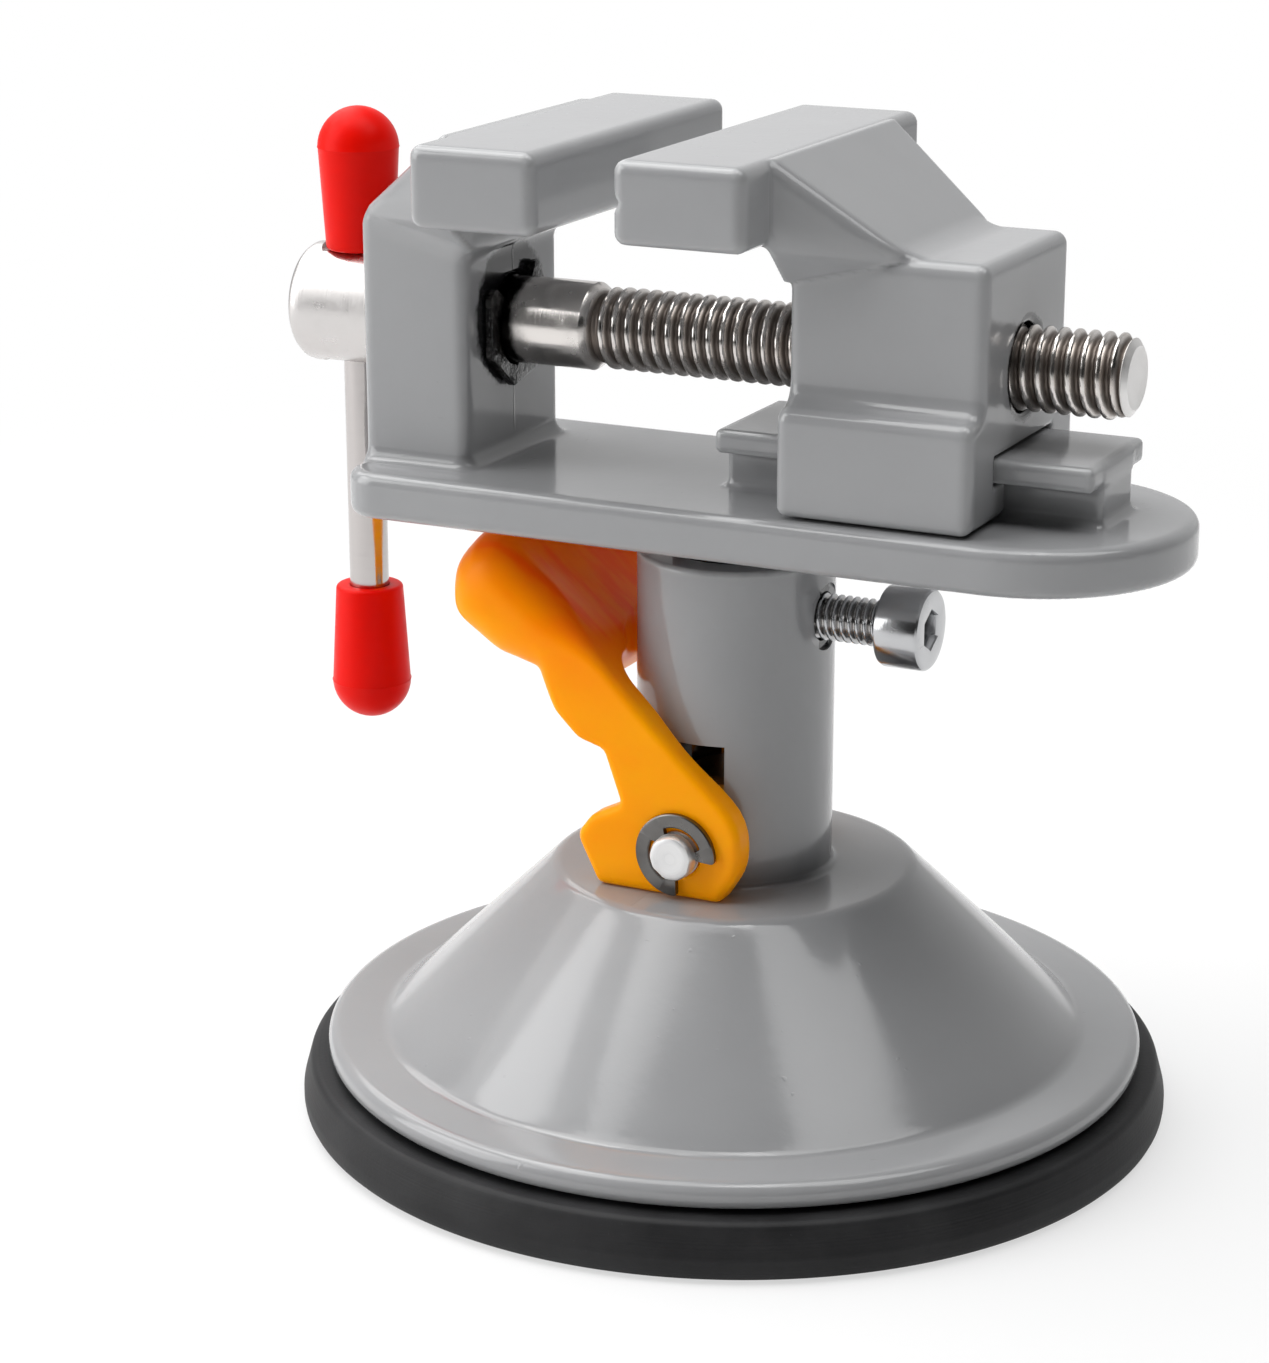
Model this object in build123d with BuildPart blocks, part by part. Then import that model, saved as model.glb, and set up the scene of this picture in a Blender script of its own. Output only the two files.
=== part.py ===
from build123d import *
import os
from math import asin, cos, radians, sin, sqrt

# A small hobby vise on a lever-operated suction base.  Millimetres, +Z up.
# The origin is the centre of the rubber pad's flat face, on the bench.  +X runs along the
# lead screw towards its free end, +Y runs along the width of the jaws, away from the viewer.

# ---------------------------------------------------------------- driving dimensions
# Rubber pad
pad_radius = 38.1
pad_thick = 5.0
pad_draft = 0.7            # how much smaller the top edge is than the bottom one
pad_edge_round = 0.7
pad_straight = 0.4         # upright part of the side, above the lower rounding

# Steel plate moulded in the pad, and the lifting stud riveted to it
insert_radius = 13.0
insert_thick = 1.5
insert_floor = 2.3         # rubber left under the plate
insert_bond_gap = 0.05
insert_holes = 6
insert_hole_radius = 1.5
insert_hole_circle = 9.5
stud_radius = 4.0
stud_collar_radius = 5.6
stud_collar_height = 1.5
stud_rivet_radius = 2.5
stud_above_pin = 4.4       # stud metal above the pin's axis
stud_chamfer = 0.5

# Cast base: rim, flange, cone, shoulder and column
rim_seat_gap = 0.2         # between the rubber and the underside of the rim
rim_radius = 35.8
rim_thick = 2.3
rim_round = 1.1
cone_foot_radius = 30.6    # where the cone would meet the flange if it had no fillet
cone_foot_fillet = 3.0
shoulder_radius = 15.6     # where the cone would meet the shoulder if it had no rounding
shoulder_height = 22.1
shoulder_round = 1.6
shell_wall = 2.6
column_radius = 8.5
column_top = 50.1
column_top_round = 0.5
plate_over_column = 2.2    # the swivel post shows in this gap
window_width = 5.4         # upright slot through which the pin rises
window_past_pin = 2.15     # slot left above the raised pin

# Swivel post of the head, in the column's socket
post_radius = 5.5
post_over_stud = 2.35      # left between the post and the raised stud
post_chamfer = 0.6
post_groove_depth = 1.3    # the clamp screw's point sits in this groove
post_groove_width = 4.6
running_gap = 0.05         # radial, on turning and sliding fits

# Clamp screw, an M4 socket cap screw
clamp_below_top = 5.1      # its axis, below the column's top
clamp_major = 4.0
clamp_pitch = 0.7
clamp_thread_depth = 0.38
clamp_length = 10.0
clamp_head_diameter = 7.0
clamp_head_height = 3.6
clamp_head_chamfer = 0.35
clamp_key = 3.0            # across the flats of the hexagon socket
clamp_key_depth = 2.0
clamp_point_gap = 0.1      # left between its point and the bottom of the groove
clamp_spot_radius = 2.9
clamp_spot_depth = 0.35

# Pivot pin and its two retaining clips
pin_radius = 2.0
pin_chamfer = 0.25
pin_past_clip = 0.95       # pin beyond the outer face of each clip
pin_groove_radius = 1.6
pin_clip_radius = 3.65
pin_clip_thick = 0.6
pin_clip_turn = -46.0      # direction of its open side, in degrees from +X
clip_side_gap = 0.05

# Cam lever: a moulded fork with a thumb paddle
cheek_gap = 0.3            # between a cheek and the column
cheek_thick = 2.7
cam_flat = 4.0             # pin axis to the flat that rests on the shoulder
cam_rise = 4.3             # lift for each radian that the lever turns
cam_travel = 62.0          # degrees from released to locked
cam_rest_gap = 0.03
nose_radius = 4.95
nose_centre_x = 0.65
rear_nose_reach = 3.9      # the rear cheek's nose ends here in X, hidden behind the column
rear_nose_round = 2.0
arm_lean = 43.0            # the released arm's angle above the horizontal, in degrees
arm_top_edge = 6.1         # the arm's upper edge, measured square from the pin axis
arm_low_edge = 0.35
fork_depth = 15.0          # pin axis to the closed end of the fork
fork_corner = 3.0
heel_notch = 7.0           # pin axis to the notch between arm and heel
heel_notch_length = 4.0
heel_notch_depth = 1.4
heel_height = 2.0          # upright end of the heel, above the end of the cam
heel_set_back = 0.7
paddle_start = 19.2        # pin axis to where the underside of the arm swells into the paddle
paddle_under_plate = 1.63  # left between the paddle's brow and the plate
paddle_droop = -2.0        # underside of the paddle, measured square from the pin axis
paddle_thick = 7.4
paddle_crown_back = 8.0    # the upper edge bends down from here, before the paddle's end
paddle_brow_back = 2.0
paddle_brow_drop = 1.3
paddle_chin_back = 7.0     # and the lower edge bends up from here
paddle_chin_rise = 0.9
paddle_corner = 6.5
paddle_plan_past = 0.6     # rounded corners' outline, past the side view's end
lever_column_gap = 0.8

# Head casting: plate, upright, fixed jaw and T-rail; "high" sizes are measured from the plate's top
plate_thick = 4.0
plate_half_width = 13.4
plate_left = -31.5
plate_right = 39.8
plate_corner = 3.5
plate_edge_round = 0.9
upright_thick = 10.2
upright_half_width = 8.5
upright_edge_round = 0.9
upright_foot_fillet = 1.2
rail_left = 0.8
rail_right = 33.5
rail_stem_half = 3.8
rail_flange_half = 6.4
rail_flange_high = 3.4
rail_flange_thick = 2.0
rail_edge_round = 0.45
rail_foot_fillet = 0.8     # at the rail's two ends

# Jaw blocks, alike on both jaws
jaw_half_width = 18.2
jaw_high = 28.9
jaw_height = 6.75
jaw_depth = 11.4           # along X
jaw_edge_round = 1.0
jaw_gap = 6.9              # opening as photographed
jaw_opening_max = 30.0
fixed_face = -9.66         # X of the fixed jaw's gripping face
flare_half_width = 13.1    # where the neck meets the block
flare_drop = 3.45          # how far the flare reaches below the block
pipe_groove_below_top = 3.4   # groove for round work, along the moving jaw's face
pipe_groove_depth = 0.7

# Moving jaw's body
body_half_width = 9.5
body_thick = 16.8
body_high = 21.3
body_flat = 6.5            # level part of its top, at the free end
foot_half_width = 12.0
foot_high = 9.15
foot_fillet = 1.4
body_edge_round = 0.9
slide_gap = 0.2            # jaw to plate and rail

# Lead screw
screw_high = 11.65
screw_major = 7.0
screw_pitch = 1.25
screw_thread_depth = 0.62
screw_shank_radius = 3.75
screw_shank_out = 8.4      # plain shank, past the upright
screw_runout = 0.5         # slope between shank and thread
screw_in_jaw = 3.0         # thread left in the jaw when it is fully open
screw_end_chamfer = 0.7
screw_cup_radius = 2.2
screw_cup_depth = 0.5
screw_head_radius = 5.25
screw_head_length = 9.5
screw_head_flat = 4.77     # screw's axis to the spot faces round the bar's hole
screw_head_spot = 3.4
screw_head_round = 0.8
screw_end_float = 0.1
screw_groove_radius = 2.6
screw_clip_radius = 5.5
screw_clip_thick = 0.7
screw_clip_turn = 100.0    # direction of its open side, in degrees from +Y
thread_gap = 0.12
thread_flat = 0.16         # width of a crest or a root, as a share of the pitch

# Retaining clips, alike but for their size; angles in degrees
clip_opening_half = 42.0
clip_lug_half = 16.0
clip_tip_width = 24.0
clip_pocket_share = 0.42   # depth of the pockets beside the lugs, as a share of the ring's width

# Sliding bar and its end caps
bar_radius = 1.75
bar_span = 30.4            # bare bar between the two caps
bar_in_cap = 10.0
cap_length = 12.4
cap_neck_radius = 3.0
cap_belly_radius = 3.55
cap_dome_height = 3.4
cap_mouth_round = 0.3
bar_slide_gap = 0.1
press_gap = 0.01           # radial, on fits that do not move

# ---------------------------------------------------------------- places worked out
rim_bottom = pad_thick + rim_seat_gap
flange_top = rim_bottom + rim_thick
insert_top = insert_floor + insert_thick
pin_height = shoulder_height + cam_flat
stud_top = pin_height + stud_above_pin
cam_lift = cam_rise * radians(cam_travel)
post_bottom = stud_top + cam_lift + post_over_stud
socket_radius = post_radius + running_gap
socket_floor = post_bottom - running_gap
stud_bore_radius = stud_radius + 2 * running_gap

cheek_inner = column_radius + cheek_gap
cheek_outer = cheek_inner + cheek_thick
pin_clip_inner = cheek_outer + clip_side_gap
pin_half_length = pin_clip_inner + pin_clip_thick + pin_past_clip
window_top = pin_height + cam_lift + pin_radius + window_past_pin

clamp_height = column_top - clamp_below_top
clamp_point_x = post_radius - post_groove_depth + clamp_point_gap
clamp_head_x = clamp_point_x + clamp_length

plate_bottom = column_top + plate_over_column
plate_top = plate_bottom + plate_thick
jaw_top = plate_top + jaw_high
body_top = plate_top + body_high
foot_top = plate_top + foot_high
rail_flange_bottom = plate_top + rail_flange_high
upright_right = plate_left + upright_thick
moving_face = fixed_face + jaw_gap
jaw_bottom = jaw_top - jaw_height
fixed_block_left = fixed_face - jaw_depth
moving_block_right = moving_face + jaw_depth
body_left = moving_block_right
rail_top = rail_flange_bottom + rail_flange_thick

pipe_groove_height = jaw_top - pipe_groove_below_top

lean = radians(arm_lean)
brow_rise = (arm_top_edge - paddle_brow_drop) * cos(lean)
paddle_reach = paddle_brow_back + (plate_bottom - paddle_under_plate - pin_height - brow_rise) / sin(lean)

screw_height = plate_top + screw_high
screw_radius = screw_major / 2
screw_shank_right = upright_right + screw_shank_out
screw_right = body_left + jaw_opening_max - jaw_gap + screw_in_jaw
screw_head_right = plate_left - screw_end_float
screw_head_left = screw_head_right - screw_head_length
bar_x = (screw_head_left + screw_head_right) / 2
screw_clip_left = upright_right + screw_end_float
bar_low_mouth = screw_height + screw_head_flat + bar_slide_gap - bar_span
bar_high_mouth = bar_low_mouth + bar_span

os.makedirs("parts", exist_ok=True)


# ---------------------------------------------------------------- shared shapes
def thread_outline(outer, depth, pitch, start, stop):
    """Points of a V thread's edge from start to stop: crests at the outer radius, one each pitch."""
    points = []
    half_flat = thread_flat / 2 * pitch
    for turn in range(int((stop - start) / pitch)):
        root = start + turn * pitch
        crest = root + pitch / 2
        points.append((root + half_flat, outer - depth))
        points.append((crest - half_flat, outer))
        points.append((crest + half_flat, outer))
        points.append((root + pitch - half_flat, outer - depth))
    return points


def retaining_clip(outer, groove, thick, opening_angle):
    """E-shaped clip in the XY plane: a split ring with three lugs that reach into the groove."""
    pocket = groove + clip_pocket_share * (outer - groove)
    reach = 3 * outer
    with BuildPart() as clip:
        with BuildSketch():
            Circle(outer)
            Circle(groove + press_gap, mode=Mode.SUBTRACT)
            for side in (-1, 1):
                near = opening_angle + 180 + side * clip_lug_half
                far = opening_angle + side * (clip_opening_half + clip_tip_width)
                first, last = sorted((near % 360, far % 360))
                if last - first > 180:
                    first, last = last, first + 360
                with BuildLine():
                    CenterArc((0, 0), pocket, first, last - first)
                    CenterArc((0, 0), groove / 2, first, last - first)
                    for angle in (first, last):
                        Line(
                            (groove / 2 * cos(radians(angle)), groove / 2 * sin(radians(angle))),
                            (pocket * cos(radians(angle)), pocket * sin(radians(angle))),
                        )
                make_face(mode=Mode.SUBTRACT)
            with BuildLine():
                low = radians(opening_angle - clip_opening_half)
                high = radians(opening_angle + clip_opening_half)
                Polyline(
                    (0, 0),
                    (reach * cos(low), reach * sin(low)),
                    (reach * cos(high), reach * sin(high)),
                    close=True,
                )
            make_face(mode=Mode.SUBTRACT)
        extrude(amount=thick)
    return clip.part


def jaw_flare(length, drop_to, tip_half_width):
    """Tapered neck behind a jaw block: root at X = 0, shrinking towards +X down a sloping top."""
    half = flare_half_width
    low = jaw_bottom - flare_drop
    root_top = Vector(0, 0, jaw_top)
    with BuildPart() as neck:
        with BuildSketch(Plane.XY.offset(low)):
            with Locations((length / 2, 0)):
                Rectangle(length, 2 * half)
        extrude(amount=jaw_top - low)
        slope = Plane(root_top, x_dir=(0, 1, 0), z_dir=(jaw_top - drop_to, 0, length))
        split(bisect_by=slope, keep=Keep.BOTTOM)
        for side in (-1, 1):
            tip = Vector(length, side * tip_half_width, drop_to)
            root = Vector(0, side * half, jaw_bottom)
            crease = Vector(0, side * tip_half_width, low)
            wall = Plane(tip, x_dir=(0, 0, 1), z_dir=(half - tip_half_width, side * length, 0))
            split(bisect_by=wall, keep=Keep.BOTTOM)
            normal = (root - tip).cross(crease - tip)
            if normal.Z > 0:
                normal = normal * -1
            split(bisect_by=Plane(tip, x_dir=root - tip, z_dir=normal), keep=Keep.BOTTOM)
    return neck.part


def jaw_block(left):
    """Rectangular gripping block with soft cast edges, its left face at the given X."""
    with BuildPart() as block:
        with BuildSketch(Plane.XY.offset(jaw_bottom)):
            with Locations((left + jaw_depth / 2, 0)):
                Rectangle(jaw_depth, 2 * jaw_half_width)
        extrude(amount=jaw_height)
        fillet(block.edges(), radius=jaw_edge_round)
    return block.part


# ---------------------------------------------------------------- suction_cup
with BuildPart() as suction_cup:
    with BuildSketch(Plane.XZ):
        with BuildLine():
            Polyline(
                (0, 0),
                (pad_radius, 0),
                (pad_radius, pad_edge_round + pad_straight),
                (pad_radius - pad_draft, pad_thick),
                (insert_radius + insert_bond_gap, pad_thick),
                (insert_radius + insert_bond_gap, insert_floor - insert_bond_gap),
                (0, insert_floor - insert_bond_gap),
                close=True,
            )
        make_face()
    revolve(axis=Axis.Z)
    fillet(suction_cup.edges().group_by(Axis.Z)[0], radius=pad_edge_round)
    top_rim = suction_cup.edges().group_by(Axis.Z)[-1].sort_by(SortBy.RADIUS)[-1]
    fillet(top_rim, radius=pad_edge_round)
suction_cup.part.label = "suction_cup"
export_step(suction_cup.part, "parts/suction_cup.step")

# ---------------------------------------------------------------- insert_plate
with BuildPart() as insert_plate:
    with BuildSketch(Plane.XY.offset(insert_floor)):
        Circle(insert_radius)
        Circle(stud_rivet_radius + press_gap, mode=Mode.SUBTRACT)
        with PolarLocations(insert_hole_circle, insert_holes):
            Circle(insert_hole_radius, mode=Mode.SUBTRACT)
    extrude(amount=insert_thick)
insert_plate.part.label = "insert_plate"
export_step(insert_plate.part, "parts/insert_plate.step")

# ---------------------------------------------------------------- lift_stud
with BuildPart() as lift_stud:
    with BuildSketch(Plane.XZ):
        with BuildLine():
            Polyline(
                (0, insert_floor),
                (stud_rivet_radius, insert_floor),
                (stud_rivet_radius, insert_top),
                (stud_collar_radius, insert_top),
                (stud_collar_radius, insert_top + stud_collar_height),
                (stud_radius, insert_top + stud_collar_height),
                (stud_radius, stud_top - stud_chamfer),
                (stud_radius - stud_chamfer, stud_top),
                (0, stud_top),
                close=True,
            )
        make_face()
    revolve(axis=Axis.Z)
    with BuildSketch(Plane.XZ):
        with Locations((0, pin_height)):
            Circle(pin_radius + press_gap)
    extrude(amount=2 * stud_radius, both=True, mode=Mode.SUBTRACT)
lift_stud.part.label = "lift_stud"
export_step(lift_stud.part, "parts/lift_stud.step")

# ---------------------------------------------------------------- base_housing
cone_slope = sqrt((cone_foot_radius - shoulder_radius) ** 2 + (shoulder_height - flange_top) ** 2)
wall_across = shell_wall * cone_slope / (shoulder_height - flange_top)
with BuildPart() as base_housing:
    with BuildSketch(Plane.XZ):
        with BuildLine():
            FilletPolyline(
                (0, shoulder_height),
                (shoulder_radius, shoulder_height),
                (cone_foot_radius, flange_top),
                (rim_radius, flange_top),
                (rim_radius, rim_bottom),
                (rim_radius - wall_across, rim_bottom),
                radius=(shoulder_round, cone_foot_fillet, rim_round, rim_round / 2),
            )
            Polyline(
                (rim_radius - wall_across, rim_bottom),
                (cone_foot_radius - wall_across, rim_bottom),
                (shoulder_radius - shell_wall, shoulder_height - shell_wall),
                (0, shoulder_height - shell_wall),
                (0, shoulder_height),
            )
        make_face()
    revolve(axis=Axis.Z)
    with BuildSketch(Plane.XY.offset(shoulder_height - shell_wall)):
        Circle(column_radius)
    extrude(amount=column_top - shoulder_height + shell_wall)
    fillet(base_housing.edges().group_by(Axis.Z)[-1], radius=column_top_round)
    with BuildSketch(Plane.XY.offset(column_top)):
        Circle(socket_radius)
    extrude(amount=socket_floor - column_top, mode=Mode.SUBTRACT)
    with BuildSketch(Plane.XY.offset(column_top)):
        Circle(stud_bore_radius)
    extrude(amount=-column_top, mode=Mode.SUBTRACT)
    with BuildSketch(Plane.XZ):
        with Locations((0, (shoulder_height + window_top) / 2)):
            Rectangle(window_width, window_top - shoulder_height)
    extrude(amount=2 * column_radius, both=True, mode=Mode.SUBTRACT)
    with BuildSketch(Plane.YZ):
        with Locations((0, clamp_height)):
            Circle(clamp_major / 2 + thread_gap)
    extrude(amount=2 * column_radius, mode=Mode.SUBTRACT)
    with BuildSketch(Plane.YZ.offset(column_radius - clamp_spot_depth)):
        with Locations((0, clamp_height)):
            Circle(clamp_spot_radius)
    extrude(amount=column_radius, mode=Mode.SUBTRACT)
base_housing.part.label = "base_housing"
export_step(base_housing.part, "parts/base_housing.step")

# ---------------------------------------------------------------- clamp_screw
with BuildPart() as clamp_screw:
    with BuildSketch(Plane.XZ):
        clamp_radius = clamp_major / 2
        clamp_root = clamp_radius - clamp_thread_depth
        with BuildLine():
            Polyline(
                (clamp_point_x, clamp_height),
                (clamp_point_x, clamp_height + clamp_root),
                *[
                    (x, clamp_height + r)
                    for x, r in thread_outline(
                        clamp_radius, clamp_thread_depth, clamp_pitch, clamp_point_x, clamp_head_x
                    )
                ],
                (clamp_head_x, clamp_height + clamp_root),
                (clamp_head_x, clamp_height + clamp_head_diameter / 2),
                (clamp_head_x + clamp_head_height, clamp_height + clamp_head_diameter / 2),
                (clamp_head_x + clamp_head_height, clamp_height),
                close=True,
            )
        make_face()
    revolve(axis=Axis((0, 0, clamp_height), (1, 0, 0)))
    head_rims = clamp_screw.edges().filter_by(GeomType.CIRCLE).sort_by(SortBy.RADIUS)[-2:]
    chamfer(head_rims, length=clamp_head_chamfer)
    with BuildSketch(Plane.YZ.offset(clamp_head_x + clamp_head_height)):
        with Locations((0, clamp_height)):
            RegularPolygon(clamp_key / 2, 6, major_radius=False)
    extrude(amount=-clamp_key_depth, mode=Mode.SUBTRACT)
clamp_screw.part.label = "clamp_screw"
export_step(clamp_screw.part, "parts/clamp_screw.step")

# ---------------------------------------------------------------- pivot_pin
with BuildPart() as pivot_pin:
    with BuildSketch(Plane.XZ.offset(-pin_half_length)):
        with Locations((0, pin_height)):
            Circle(pin_radius)
    extrude(amount=2 * pin_half_length)
    chamfer(pivot_pin.edges().filter_by(GeomType.CIRCLE), length=pin_chamfer)
    for groove_y in (-pin_clip_inner - pin_clip_thick, pin_clip_inner):
        with BuildSketch(Plane.XZ.offset(-groove_y)):
            with Locations((0, pin_height)):
                Circle(2 * pin_radius)
                Circle(pin_groove_radius, mode=Mode.SUBTRACT)
        extrude(amount=-pin_clip_thick, mode=Mode.SUBTRACT)
pivot_pin.part.label = "pivot_pin"
export_step(pivot_pin.part, "parts/pivot_pin.step")

# ---------------------------------------------------------------- front_clip and rear_clip
clip_shape = retaining_clip(pin_clip_radius, pin_groove_radius, pin_clip_thick, pin_clip_turn)
for clip_name, clip_y in (("front_clip", -pin_clip_inner), ("rear_clip", pin_clip_inner + pin_clip_thick)):
    with BuildPart() as pin_clip:
        with Locations(Plane((0, clip_y, pin_height), x_dir=(1, 0, 0), z_dir=(0, -1, 0))):
            add(clip_shape)
    pin_clip.part.label = clip_name
    export_step(pin_clip.part, "parts/" + clip_name + ".step")

# ---------------------------------------------------------------- cam_lever
def on_arm(along, across):
    """Point of the lever's side view, from its distance along the arm and square to it."""
    return (
        across * sin(lean) - along * cos(lean),
        pin_height + across * cos(lean) + along * sin(lean),
    )


def cam_point(turn):
    """Point of the cam that touches the shoulder once the lever has turned by this angle."""
    reach = cam_flat - cam_rest_gap + cam_rise * turn
    return (
        -reach * sin(turn) - cam_rise * cos(turn),
        pin_height - reach * cos(turn) + cam_rise * sin(turn),
    )


cam_steps = 6
cam_curve = [cam_point(radians(cam_travel) * step / cam_steps) for step in range(cam_steps + 1)]
nose_centre = (nose_centre_x, pin_height - cam_flat + cam_rest_gap + nose_radius)
nose_bottom = (nose_centre_x, nose_centre[1] - nose_radius)
nose_side = (nose_centre[0] + nose_radius * cos(lean / 2), nose_centre[1] - nose_radius * sin(lean / 2))
nose_top = (nose_centre[0] + nose_radius * sin(lean), nose_centre[1] + nose_radius * cos(lean))
heel_top = (cam_curve[-1][0] + heel_set_back, cam_curve[-1][1] + heel_height)
with BuildPart() as cam_lever:
    with BuildSketch(Plane.XZ):
        with BuildLine():
            ThreePointArc(nose_bottom, nose_side, nose_top)
            Line(nose_top, on_arm(fork_depth, arm_top_edge))
            Spline(
                on_arm(fork_depth, arm_top_edge),
                on_arm(paddle_reach - paddle_crown_back, arm_top_edge),
                on_arm(paddle_reach - paddle_brow_back, arm_top_edge - paddle_brow_drop),
                on_arm(paddle_reach, paddle_droop + paddle_thick / 2),
                on_arm(paddle_reach - paddle_brow_back, paddle_droop + paddle_chin_rise),
                on_arm(paddle_reach - paddle_chin_back, paddle_droop),
                on_arm(paddle_start, arm_low_edge),
            )
            Polyline(
                on_arm(paddle_start, arm_low_edge),
                on_arm(heel_notch + heel_notch_length, arm_low_edge),
                on_arm(heel_notch, arm_low_edge - heel_notch_depth),
                heel_top,
                cam_curve[-1],
            )
            Spline(*cam_curve)
            Line(cam_curve[0], nose_bottom)
        make_face()
    extrude(amount=2 * cheek_outer, both=True)
    # plan of the lever, looking square onto the arm: straight sides and rounded paddle corners
    arm_plane = Plane((0, 0, pin_height), x_dir=(-cos(lean), 0, sin(lean)), z_dir=(sin(lean), 0, cos(lean)))
    arm_behind = 4 * nose_radius
    arm_deep = 3 * nose_radius
    plan_end = paddle_reach + paddle_plan_past
    with BuildSketch(arm_plane):
        with Locations(((plan_end - arm_behind) / 2, 0)):
            RectangleRounded(plan_end + arm_behind, 2 * cheek_outer, paddle_corner)
    extrude(amount=arm_deep, both=True, mode=Mode.INTERSECT)
    # slot of the fork, and room for the column
    with BuildSketch(arm_plane):
        with Locations(((fork_depth - arm_behind) / 2, 0)):
            RectangleRounded(fork_depth + arm_behind, 2 * cheek_inner, fork_corner)
    extrude(amount=arm_deep, both=True, mode=Mode.SUBTRACT)
    with BuildSketch():
        Circle(column_radius + lever_column_gap)
    extrude(amount=jaw_top, mode=Mode.SUBTRACT)
    # the rear cheek's nose is cut back and rounded
    with BuildSketch(Plane.XZ):
        with Locations((rear_nose_reach + nose_radius, pin_height)):
            Rectangle(2 * nose_radius, 4 * nose_radius)
    extrude(amount=-2 * cheek_outer, mode=Mode.SUBTRACT)
    rear_corners = cam_lever.edges().filter_by(Axis.Y).filter_by(
        lambda edge: edge.center().Y > column_radius and abs(edge.center().X - rear_nose_reach) < 0.01
    )
    fillet(rear_corners, radius=rear_nose_round)
    with BuildSketch(Plane.XZ):
        with Locations((0, pin_height)):
            Circle(pin_radius + running_gap)
    extrude(amount=2 * cheek_outer, both=True, mode=Mode.SUBTRACT)
cam_lever.part.label = "cam_lever"
export_step(cam_lever.part, "parts/cam_lever.step")

# ---------------------------------------------------------------- vise_body
fixed_flare = jaw_flare(fixed_block_left - plate_left, body_top, upright_half_width)
with BuildPart() as vise_body:
    with BuildSketch(Plane.XY.offset(plate_bottom)):
        end_centre = plate_right - plate_half_width
        with Locations(((plate_left + end_centre) / 2, 0)):
            plate_blank = Rectangle(end_centre - plate_left, 2 * plate_half_width)
        fillet(plate_blank.vertices().group_by(Axis.X)[0], radius=plate_corner)
        with Locations((end_centre, 0)):
            Circle(plate_half_width)
    extrude(amount=plate_thick)
    fillet(vise_body.faces().sort_by(Axis.Z)[-1].edges(), radius=plate_edge_round)
    fillet(vise_body.faces().sort_by(Axis.Z)[0].edges(), radius=plate_edge_round)
    with BuildSketch(Plane.XY.offset(plate_bottom + plate_thick / 2)):
        with Locations(((plate_left + upright_right) / 2, 0)):
            RectangleRounded(upright_thick, 2 * upright_half_width, upright_edge_round)
    extrude(amount=body_top - plate_bottom - plate_thick / 2)
    foot_edges = vise_body.edges().filter_by_position(Axis.Z, plate_top - 0.01, plate_top + 0.01)
    inner_foot = foot_edges.filter_by_position(Axis.X, upright_right - 0.01, upright_right + 0.01)
    fillet(inner_foot, radius=upright_foot_fillet)
    with Locations(Plane((fixed_block_left, 0, 0), x_dir=(-1, 0, 0), z_dir=(0, 0, 1))):
        add(fixed_flare)
    add(jaw_block(fixed_block_left))
    # T-rail
    with BuildSketch(Plane.YZ.offset(rail_left)):
        stem_bottom = plate_top - plate_thick / 2
        with Locations((0, (stem_bottom + rail_top) / 2)):
            Rectangle(2 * rail_stem_half, rail_top - stem_bottom)
        with Locations((0, rail_flange_bottom + rail_flange_thick / 2)):
            RectangleRounded(2 * rail_flange_half, rail_flange_thick, rail_edge_round)
    extrude(amount=rail_right - rail_left)
    with BuildSketch(Plane.XZ):
        for rail_end, way in ((rail_left, -1), (rail_right, 1)):
            foot_end = rail_end + way * rail_foot_fillet
            foot_middle = rail_foot_fillet * (1 - sqrt(0.5))
            with BuildLine():
                Polyline(
                    (rail_end, plate_top + rail_foot_fillet),
                    (rail_end - way * rail_foot_fillet, plate_top + rail_foot_fillet),
                    (rail_end - way * rail_foot_fillet, stem_bottom),
                    (foot_end, stem_bottom),
                    (foot_end, plate_top),
                )
                ThreePointArc(
                    (foot_end, plate_top),
                    (rail_end + way * foot_middle, plate_top + foot_middle),
                    (rail_end, plate_top + rail_foot_fillet),
                )
            make_face()
    extrude(amount=rail_stem_half, both=True)
    # swivel post with the groove for the clamp screw's point
    with BuildSketch(Plane.XZ):
        groove_floor_half = post_groove_width / 2 - post_groove_depth / 4
        with BuildLine():
            Polyline(
                (0, post_bottom),
                (post_radius - post_chamfer, post_bottom),
                (post_radius, post_bottom + post_chamfer),
                (post_radius, clamp_height - post_groove_width / 2),
                (post_radius - post_groove_depth, clamp_height - groove_floor_half),
                (post_radius - post_groove_depth, clamp_height + groove_floor_half),
                (post_radius, clamp_height + post_groove_width / 2),
                (post_radius, plate_bottom + plate_thick / 2),
                (0, plate_bottom + plate_thick / 2),
                close=True,
            )
        make_face()
    revolve(axis=Axis.Z)
    with BuildSketch(Plane.YZ.offset(plate_left)):
        with Locations((0, screw_height)):
            Circle(screw_shank_radius + running_gap)
    extrude(amount=upright_thick, mode=Mode.SUBTRACT)
vise_body.part.label = "vise_body"
export_step(vise_body.part, "parts/vise_body.step")

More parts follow.
